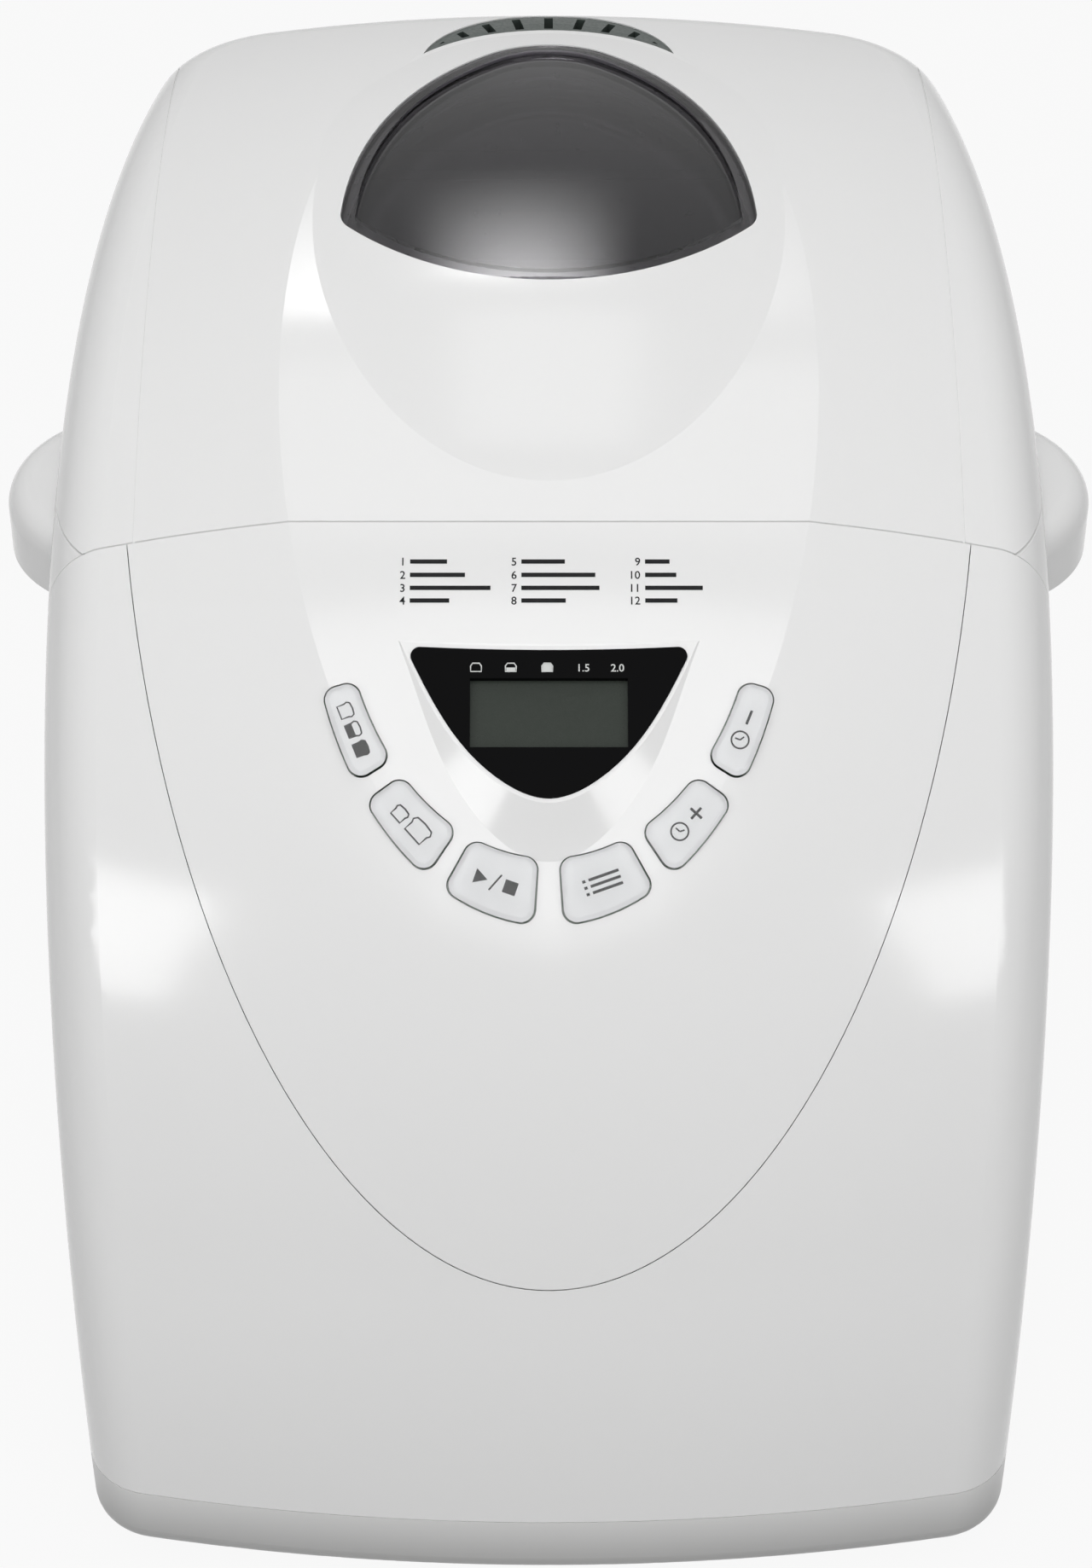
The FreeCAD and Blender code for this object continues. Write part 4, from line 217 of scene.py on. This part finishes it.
# Painted shade and light: the base tray is painted darker towards its foot and lighter at its seam, for the shade of
# the real tray, which rounds inwards there more than the solid
TRAY_FOOT_PAINTED_SHADE, TRAY_SEAM_PAINTED_LIGHT = 0.56, 1.12
base_mat, base_tree, base_shader = surface("base_abs", (0.66, 0.66, 0.655), 0.30, 0.01, 9, 420, 0.000003,
                                           rough_vary=0.03, specular=0.25)
tray_height = split(base_tree, own_place(base_tree))["Z"]
tray_painted_shading = ramped(base_tree, tray_height, FOOT_HEIGHT * MM, (FOOT_HEIGHT + TRAY_HEIGHT) * MM,
                    TRAY_FOOT_PAINTED_SHADE, TRAY_SEAM_PAINTED_LIGHT)
# Painted shade: the tray colour is multiplied by a ramp on height, darker at the foot and lighter at the seam
tray_painted_shading_mix = overlaid(base_tree, base_shader, "MULTIPLY")
tray_painted_shading_mix.inputs["Factor"].default_value = 1.0
base_tree.links.new(tray_painted_shading, tray_painted_shading_mix.inputs["B"])
finish["base_shell"] = base_mat

# The raised rim of the lens is painted lighter, a painted highlight for the light that the real rim catches. It lies
# further from the dome's axis than the sunk middle, with the crown of the dome allowed for.
RIM_FOOT, RIM_TOP = -1.7, -1.2
smoke_mat, smoke_tree, smoke_shader = clear("smoke_acrylic", (0.25, 0.24, 0.26), 0.015, 1.42)
lens_place = own_place(smoke_tree)
lens_arm = smoke_tree.nodes.new("ShaderNodeMapping")
lens_arm.inputs["Location"].default_value = (0, -DOME_Y * MM, -DOME_Z * MM)
lens_arm.inputs["Scale"].default_value = (0, 1, 1)
smoke_tree.links.new(lens_place, lens_arm.inputs["Vector"])
lens_reach = length_of(smoke_tree, lens_arm.outputs["Vector"])
lens_square = calculate(smoke_tree, "POWER", split(smoke_tree, lens_place)["X"], 2.0)
lens_drop = calculate(smoke_tree, "DIVIDE", lens_square, 2 * DOME_CROWN * MM)
lens_height = calculate(smoke_tree, "ADD", lens_reach, lens_drop)
on_rim = ramped(smoke_tree, lens_height, (DOME_RADIUS + RIM_FOOT) * MM, (DOME_RADIUS + RIM_TOP) * MM, 0.0, 1.0)
rim_painted_highlight = overlaid(smoke_tree, smoke_shader, "MIX")
smoke_tree.links.new(on_rim, rim_painted_highlight.inputs["Factor"])
# Painted highlight: the rim is given a lighter tint where the real raised rim catches the light
rim_painted_highlight.inputs["B"].default_value = (0.80, 0.78, 0.82, 1)
finish["smoke_glass"] = smoke_mat

slots = {item["node"]: item["material_slot"] for item in frame["record"]["subparts"]}
for name, piece in nodes.items():
    piece.data.materials.clear()
    piece.data.materials.append(finish[slots[name]])


# Studio: a soft box on each side in front, soft boxes above, in front and behind, a room and a pale floor

def area_light(name, spot, aim, width, height, power, shape="RECTANGLE"):
    """A soft box."""
    lamp = bpy.data.lights.new(name, "AREA")
    lamp.shape = shape
    lamp.size = width
    lamp.size_y = height
    lamp.energy = power
    holder = bpy.data.objects.new(name, lamp)
    holder.location = spot
    holder.rotation_euler = (Vector(aim) - Vector(spot)).to_track_quat("-Z", "Y").to_euler()
    holder.visible_camera = False
    scene.collection.objects.link(holder)
    return lamp


def middle_light(name, target, height_angle, distance, width, height, power, shape="RECTANGLE"):
    """A soft box that is seen from the target at an angle above the front horizon."""
    slant = math.radians(height_angle)
    way = Vector((0, -math.cos(slant), math.sin(slant)))
    return area_light(name, Vector(target) + way * distance, target, width, height, power, shape)


KEY_PANEL = (0.0, -0.11, 0.18)
WINDOW = (-0.064, 0.03, 0.265)
DOME = (0.0, 0.0, 0.25)
area_light("softbox_left", (-0.79, -1.07, 0.88), (-0.10, -0.11, 0.17), width=0.42, height=0.34, power=2.65)
area_light("softbox_right", (0.79, -1.07, 0.88), (0.10, -0.11, 0.17), width=0.42, height=0.34, power=2.25)
middle_light("overhead", DOME, 95, 1.56, width=0.46, height=0.64, power=1.25)
middle_light("panel_box", KEY_PANEL, 57, 1.8, width=0.82, height=1.56, power=8.4, shape="ELLIPSE")
rear_lamp = middle_light("rear_box", WINDOW, 125, 1.6, width=0.56, height=0.74, power=14.5)

# The rear box is brightest in the middle of its front edge and fades to its other edges
FADE_ALONG, FADE_ACROSS = 1.7, 2.0
rear_lamp.use_nodes = True
box_tree = rear_lamp.node_tree
box_place = split(box_tree, box_tree.nodes.new("ShaderNodeNewGeometry").outputs["Parametric"])
off_middle = calculate(box_tree, "SUBTRACT", box_place["X"], 0.5)
off_share = calculate(box_tree, "MULTIPLY", calculate(box_tree, "POWER", off_middle, 2.0), 4.0)
box_across = calculate(box_tree, "POWER", calculate(box_tree, "SUBTRACT", 1.0, off_share), FADE_ACROSS)
box_along = calculate(box_tree, "POWER", box_place["Y"], FADE_ALONG)
box_tree.links.new(calculate(box_tree, "MULTIPLY", box_across, box_along),
                   box_tree.nodes["Emission"].inputs["Strength"])


def seen_rays(tree, top):
    """A switch that is on for what is seen straight, in a mirror or through a clear piece."""
    rays = tree.nodes.new("ShaderNodeLightPath")
    total = rays.outputs["Is Camera Ray"]
    for kind in ("Is Glossy Ray", "Is Transmission Ray"):
        both = tree.nodes.new("ShaderNodeMath")
        both.operation = "ADD"
        both.use_clamp = True
        tree.links.new(total, both.inputs[0])
        tree.links.new(rays.outputs[kind], both.inputs[1])
        total = both.outputs["Value"]
    return calculate(tree, "MULTIPLY", total, top)


def picked(tree, share, first, second, target):
    """A mix of two shaders, sent to an output."""
    mix = tree.nodes.new("ShaderNodeMixShader")
    tree.links.new(share, mix.inputs["Fac"])
    tree.links.new(first, mix.inputs[1])
    tree.links.new(second, mix.inputs[2])
    tree.links.new(mix.outputs["Shader"], tree.nodes[target].inputs["Surface"])


# The room is lighter above than at the horizon, as light and as what is seen of it.
# As light it is darker on both sides, which keeps the machine's side edges apart from the floor.
PLAIN_WHITE = (1, 1, 1, 1)
FAR_LEVEL, TOP_LEVEL, TOP_HEIGHT = 0.66, 1.0, 0.75
ROOM_LOW, ROOM_HIGH = 0.435, 0.495
SIDE_START, SIDE_SHARE = 0.7, 0.15
world = bpy.data.worlds.new("studio")
scene.world = world
world.use_nodes = True
sky_tree = world.node_tree
sky_way = split(sky_tree, sky_tree.nodes.new("ShaderNodeTexCoord").outputs["Generated"])
sideways = calculate(sky_tree, "ABSOLUTE", sky_way["X"], 0.0)
side_share = ramped(sky_tree, sideways, SIDE_START, 1.0, 1.0, SIDE_SHARE)
room_level = calculate(sky_tree, "MULTIPLY", ramped(sky_tree, sky_way["Z"], 0.0, 1.0, ROOM_LOW, ROOM_HIGH), side_share)
seen_level = ramped(sky_tree, sky_way["Z"], 0.0, TOP_HEIGHT, FAR_LEVEL, TOP_LEVEL)
room = sky_tree.nodes["Background"]
seen_room = sky_tree.nodes.new("ShaderNodeBackground")
for shader, level in ((room, room_level), (seen_room, seen_level)):
    shader.inputs["Color"].default_value = PLAIN_WHITE
    sky_tree.links.new(level, shader.inputs["Strength"])
picked(sky_tree, seen_rays(sky_tree, 1.0), room.outputs["Background"], seen_room.outputs["Background"], "World Output")

# The floor is white round the machine and greyer far from it, and keeps a share of the shadow
FLOOR_REACH, FLOOR_DROP = 6.0, 0.0002
WHITE_REACH, GREY_REACH = 0.75, 1.7
FLOOR_GLOW = 0.92
floor_mesh = bpy.data.meshes.new("floor")
floor_mesh.from_pydata([(-FLOOR_REACH, -FLOOR_REACH, 0), (FLOOR_REACH, -FLOOR_REACH, 0),
                        (FLOOR_REACH, FLOOR_REACH, 0), (-FLOOR_REACH, FLOOR_REACH, 0)], [], [(0, 1, 2, 3)])
floor = bpy.data.objects.new("floor", floor_mesh)
floor.location.z = -FLOOR_DROP
scene.collection.objects.link(floor)
floor_mat, floor_tree, floor_shader = surface("floor_paper", (0.42, 0.42, 0.42), 0.9, 0.004, 3, 200, 0.00001,
                                              specular=0.0)
floor_range = length_of(floor_tree, own_place(floor_tree))
glow = floor_tree.nodes.new("ShaderNodeEmission")
glow.inputs["Color"].default_value = PLAIN_WHITE
floor_tree.links.new(ramped(floor_tree, floor_range, WHITE_REACH, GREY_REACH, TOP_LEVEL, FAR_LEVEL),
                     glow.inputs["Strength"])
picked(floor_tree, seen_rays(floor_tree, FLOOR_GLOW), floor_shader.outputs["BSDF"], glow.outputs["Emission"],
       "Material Output")
floor_mesh.materials.append(floor_mat)

# Camera at the viewing angle of the photograph
eye = bpy.data.cameras.new("camera")
eye.lens = 86.87
eye.sensor_width = 36.0
camera = bpy.data.objects.new("camera", eye)
camera.location = (-0.0007, -0.7854, 0.7801)
camera_aim = Vector((-0.0007, -0.0316, 0.1476))
camera.rotation_euler = (camera_aim - camera.location).to_track_quat("-Z", "Y").to_euler()
scene.collection.objects.link(camera)
scene.camera = camera


# Printed legend and key labels, laid on the curved key panel and the display bezel

PANEL_SLOPE = math.radians(45)
PANEL = Vector((0, CHANNEL_Y - CHANNEL_RADIUS * math.sin(PANEL_SLOPE),
                CHANNEL_Z + CHANNEL_RADIUS * math.cos(PANEL_SLOPE)))
PANEL_UP = Vector((0, math.cos(PANEL_SLOPE), math.sin(PANEL_SLOPE)))
PANEL_OUT = Vector((0, -math.sin(PANEL_SLOPE), math.cos(PANEL_SLOPE)))
BEZEL_TILT = math.radians(33.3)
BEZEL_RISE, BEZEL_SINK, BEZEL_FACE = 36.7, 0.85, 0.5
BEZEL = PANEL + PANEL_UP * BEZEL_RISE - PANEL_OUT * BEZEL_SINK
BEZEL_UP = Vector((0, math.cos(BEZEL_TILT), math.sin(BEZEL_TILT)))
BEZEL_OUT = Vector((0, -math.sin(BEZEL_TILT), math.cos(BEZEL_TILT)))
PRINT = 0.04
CAP_SHARE, BOLDNESS = 0.7, 0.025
LINE, THIN_LINE = 0.42, 0.38


def on_channel(u, v, lift):
    sink = math.sqrt(CHANNEL_RADIUS ** 2 - v ** 2) - CHANNEL_RADIUS
    return (PANEL + Vector((u, 0, 0)) + PANEL_UP * v + PANEL_OUT * (sink + lift)) * MM


def on_bezel(u, v, lift):
    return (BEZEL + Vector((u, 0, 0)) + BEZEL_UP * v + BEZEL_OUT * lift) * MM


class Drawing:
    """Flat outlines in millimetres, drawn in ink and then laid on a surface."""

    def __init__(self):
        self.spots = []
        self.faces = []

    def patch(self, loop):
        start = len(self.spots)
        self.spots.extend(loop)
        self.faces.append(tuple(range(start, start + len(loop))))

    def bar(self, x0, y0, x1, y1, steps=1):
        for index in range(steps):
            left = x0 + (x1 - x0) * index / steps
            right = x0 + (x1 - x0) * (index + 1) / steps
            self.patch([(left, y0), (right, y0), (right, y1), (left, y1)])

    def stroke(self, loop, width, closed=True):
        """A line along a run of points, square to the mean direction at each point."""
        count = len(loop)
        rails = []
        for index, (x, y) in enumerate(loop):
            before = loop[index - 1] if closed or index else loop[index]
            after = loop[(index + 1) % count] if closed or index < count - 1 else loop[index]
            way = Vector((after[0] - before[0], after[1] - before[1])).normalized()
            side = Vector((-way.y, way.x)) * width / 2
            rails.append(((x + side.x, y + side.y), (x - side.x, y - side.y)))
        for index in range(count if closed else count - 1):
            first, last = rails[index], rails[(index + 1) % count]
            self.patch([first[0], first[1], last[1], last[0]])

    def words(self, text, x, y, height):
        """Plain figures, with their lower left corner at a spot."""
        font = bpy.data.curves.new("figures", "FONT")
        font.body = text
        font.size = height / CAP_SHARE
        font.resolution_u = 3
        font.offset = BOLDNESS
        holder = bpy.data.objects.new("figures", font)
        scene.collection.objects.link(holder)
        bpy.context.view_layer.update()
        mesh = bpy.data.meshes.new_from_object(holder.evaluated_get(bpy.context.evaluated_depsgraph_get()))
        start = len(self.spots)
        self.spots.extend((x + v.co.x, y + v.co.y) for v in mesh.vertices)
        self.faces.extend(tuple(start + i for i in face.vertices) for face in mesh.polygons)
        bpy.data.objects.remove(holder)
        bpy.data.curves.remove(font)
        bpy.data.meshes.remove(mesh)

    def lay(self, name, body, mat, surface_at, lift, turn=0.0, spot=(0.0, 0.0)):
        cosine, sine = math.cos(turn), math.sin(turn)
        placed = []
        for x, y in self.spots:
            placed.append(surface_at(spot[0] + x * cosine - y * sine, spot[1] + x * sine + y * cosine, lift))
        mesh = bpy.data.meshes.new(name)
        mesh.from_pydata(placed, [], self.faces)
        mesh.materials.append(mat)
        piece = bpy.data.objects.new(name, mesh)
        scene.collection.objects.link(piece)
        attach(piece, body)


dark_ink = surface("dark_ink", (0.012, 0.012, 0.013), 0.5, 0.2, 400, 2500, 0.000002, specular=0.12)[0]
pale_ink = surface("pale_ink", (0.62, 0.63, 0.62), 0.5, 0.05, 400, 2500, 0.000002)[0]
label_paper = surface("label_white", (0.76, 0.765, 0.77), 0.5, 0.02, 200, 2500, 0.000002)[0]

# Programme list: plain figures, set flush right in their column, with a plain bar each
COLUMNS = (-36.3, -9.2, 19.4)
ROWS = (76.9, 73.5, 70.2, 67.0)
LENGTHS = ((9.0, 13.4, 19.6, 9.6), (10.6, 18.0, 19.0, 10.8), (6.0, 7.6, 14.0, 7.8))
FIGURE_HEIGHT, FIGURE_WIDTH, FIGURE_GAP = 2.0, 1.5, 1.0
BAR_HALF, BAR_STEPS = 0.55, 6
legend = Drawing()
for column, u in enumerate(COLUMNS):
    most_digits = len(str((column + 1) * len(ROWS)))
    start = u + FIGURE_WIDTH * most_digits + FIGURE_GAP
    for row, v in enumerate(ROWS):
        number = str(column * len(ROWS) + row + 1)
        first = u + FIGURE_WIDTH * (most_digits - len(number))
        legend.words(number, first, v - FIGURE_HEIGHT / 2, FIGURE_HEIGHT)
        legend.bar(start, v - BAR_HALF, start + LENGTHS[column][row], v + BAR_HALF, BAR_STEPS)
legend.lay("programme_list", "housing", dark_ink, on_channel, PRINT)

# Display legend: three crust shades and two loaf sizes
SHADE_SPOTS = (-17.6, -9.2, -0.4)
SIZE_SPOTS = (("1.5", 6.6), ("2.0", 14.9))
LEGEND_FOOT, LEGEND_HEIGHT, LEGEND_LINE = 12.6, 1.9, 0.3
SMALL_LOAF = ((-1.3, 0.0), (1.3, 0.0), (1.3, 1.4), (0.8, 2.1), (-0.8, 2.1), (-1.3, 1.4))
shades = Drawing()
for index, u in enumerate(SHADE_SPOTS):
    loaf = [(u + x, LEGEND_FOOT + y) for x, y in SMALL_LOAF]
    shades.stroke(loaf, LEGEND_LINE)
    if index == 1:
        shades.bar(u - 1.1, LEGEND_FOOT + 0.15, u + 1.1, LEGEND_FOOT + 1.0)
    if index == 2:
        shades.patch(loaf)
for text, u in SIZE_SPOTS:
    shades.words(text, u, LEGEND_FOOT, LEGEND_HEIGHT)
shades.lay("display_legend", "housing", pale_ink, on_bezel, BEZEL_FACE + PRINT)

# Key row: keys between two half ellipses, at even steps of angle from the middle
RING_RISE = 75.0
INNER_U, INNER_V = 50.8, 71.4
OUTER_U, OUTER_V = 58.3, 87.2
KEY_START, KEY_PITCH, KEY_SPAN = 3.0, 22.7, 18.2


def key_spot(side, angle, share):
    """A point of the curved key row: share runs squarely from its inner to its outer edge."""
    near_u, near_v = INNER_U * math.sin(angle), INNER_V * math.cos(angle)
    way_u, way_v = math.sin(angle) / INNER_U, math.cos(angle) / INNER_V
    square = (way_u / OUTER_U) ** 2 + (way_v / OUTER_V) ** 2
    half = near_u * way_u / OUTER_U ** 2 + near_v * way_v / OUTER_V ** 2
    rest = (near_u / OUTER_U) ** 2 + (near_v / OUTER_V) ** 2 - 1
    run = (math.sqrt(half ** 2 - square * rest) - half) / square * share
    return side * (near_u + run * way_u), RING_RISE - near_v - run * way_v


# Shares of a loaf's half width and height up its right side
LOAF_SIDE = ((0.86, 0.0), (0.86, 0.55), (1.0, 0.72), (0.8, 0.94))
CLOCK_SIDES = 28


def loaf_outline(x, y, wide, tall):
    half = wide / 2
    right = [(x + half * across, y + tall * up) for across, up in LOAF_SIDE]
    left = [(x - half * across, y + tall * up) for across, up in reversed(LOAF_SIDE)]
    return left[-1:] + right + [(x, y + tall)] + left[:-1]


def clock(ink, x, y, radius):
    turns = [2 * math.pi * i / CLOCK_SIDES for i in range(CLOCK_SIDES)]
    ink.stroke([(x + radius * math.cos(turn), y + radius * math.sin(turn)) for turn in turns], LINE)
    ink.stroke([(x, y + radius * 0.62), (x, y)], THIN_LINE, False)
    ink.stroke([(x, y), (x + radius * 0.5, y - radius * 0.3)], THIN_LINE, False)


def crust_icon(ink):
    for index, x in enumerate((-5.0, 0.0, 5.0)):
        outline = loaf_outline(x, -1.7, 3.8, 3.4)
        ink.stroke(outline, THIN_LINE)
        if index == 1:
            ink.bar(x - 1.5, -1.6, x + 1.5, 0.0)
        if index == 2:
            ink.patch(outline)


def loaf_icon(ink):
    ink.stroke(loaf_outline(-3.4, -1.9, 3.8, 3.2), LINE)
    ink.stroke(loaf_outline(2.6, -1.9, 6.0, 4.4), LINE)


def start_icon(ink):
    ink.patch([(-5.2, -1.8), (-2.0, 0.0), (-5.2, 1.8)])
    ink.stroke([(-0.9, -2.2), (0.9, 2.2)], LINE, False)
    ink.bar(2.2, -1.6, 5.4, 1.6)


def menu_icon(ink):
    for y in (-1.6, 0.0, 1.6):
        ink.bar(-4.6, y - 0.35, -3.8, y + 0.35)
        ink.bar(-3.0, y - 0.35, 4.6, y + 0.35)


def down_icon(ink):
    clock(ink, -2.7, 0.0, 2.1)
    ink.bar(1.4, -0.32, 5.0, 0.32)


def up_icon(ink):
    down_icon(ink)
    ink.bar(2.88, -1.8, 3.52, 1.8)


# Each key with its place from the middle, its side and its icon
KEYS = (("key_crust", 2, -1, crust_icon), ("key_loaf_size", 1, -1, loaf_icon), ("key_start_stop", 0, -1, start_icon),
        ("key_menu", 0, 1, menu_icon), ("key_time_up", 1, 1, up_icon), ("key_time_down", 2, 1, down_icon))
LABEL_LIFT = 0.15
LABEL_SIDES = 64
LABEL_MARGIN, LABEL_REACH = 0.3, 0.48
SQUARENESS = 2 / 5.5
for key_name, index, side, icon in KEYS:
    middle = math.radians(KEY_START + KEY_PITCH * index + KEY_SPAN / 2)
    half_span = math.radians(KEY_SPAN / 2 - LABEL_MARGIN)
    rim = []
    for step in range(LABEL_SIDES):
        round_angle = 2 * math.pi * step / LABEL_SIDES
        across, along = math.cos(round_angle), math.sin(round_angle)
        across = math.copysign(abs(across) ** SQUARENESS, across)
        along = math.copysign(abs(along) ** SQUARENESS, along)
        rim.append(key_spot(side, middle + half_span * across, 0.5 + LABEL_REACH * along))
    centre = key_spot(side, middle, 0.5)
    paper = Drawing()
    for step in range(LABEL_SIDES):
        paper.patch([centre, rim[step], rim[(step + 1) % LABEL_SIDES]])
    paper.lay(key_name + "_label", key_name, label_paper, on_channel, LABEL_LIFT)
    low, high = key_spot(side, middle - half_span, 0.5), key_spot(side, middle + half_span, 0.5)
    way = Vector((high[0] - low[0], high[1] - low[1])) * side
    ink = Drawing()
    icon(ink)
    ink.lay(key_name + "_icon", key_name, dark_ink, on_channel, LABEL_LIFT + PRINT,
            math.atan2(way.y, way.x), centre)
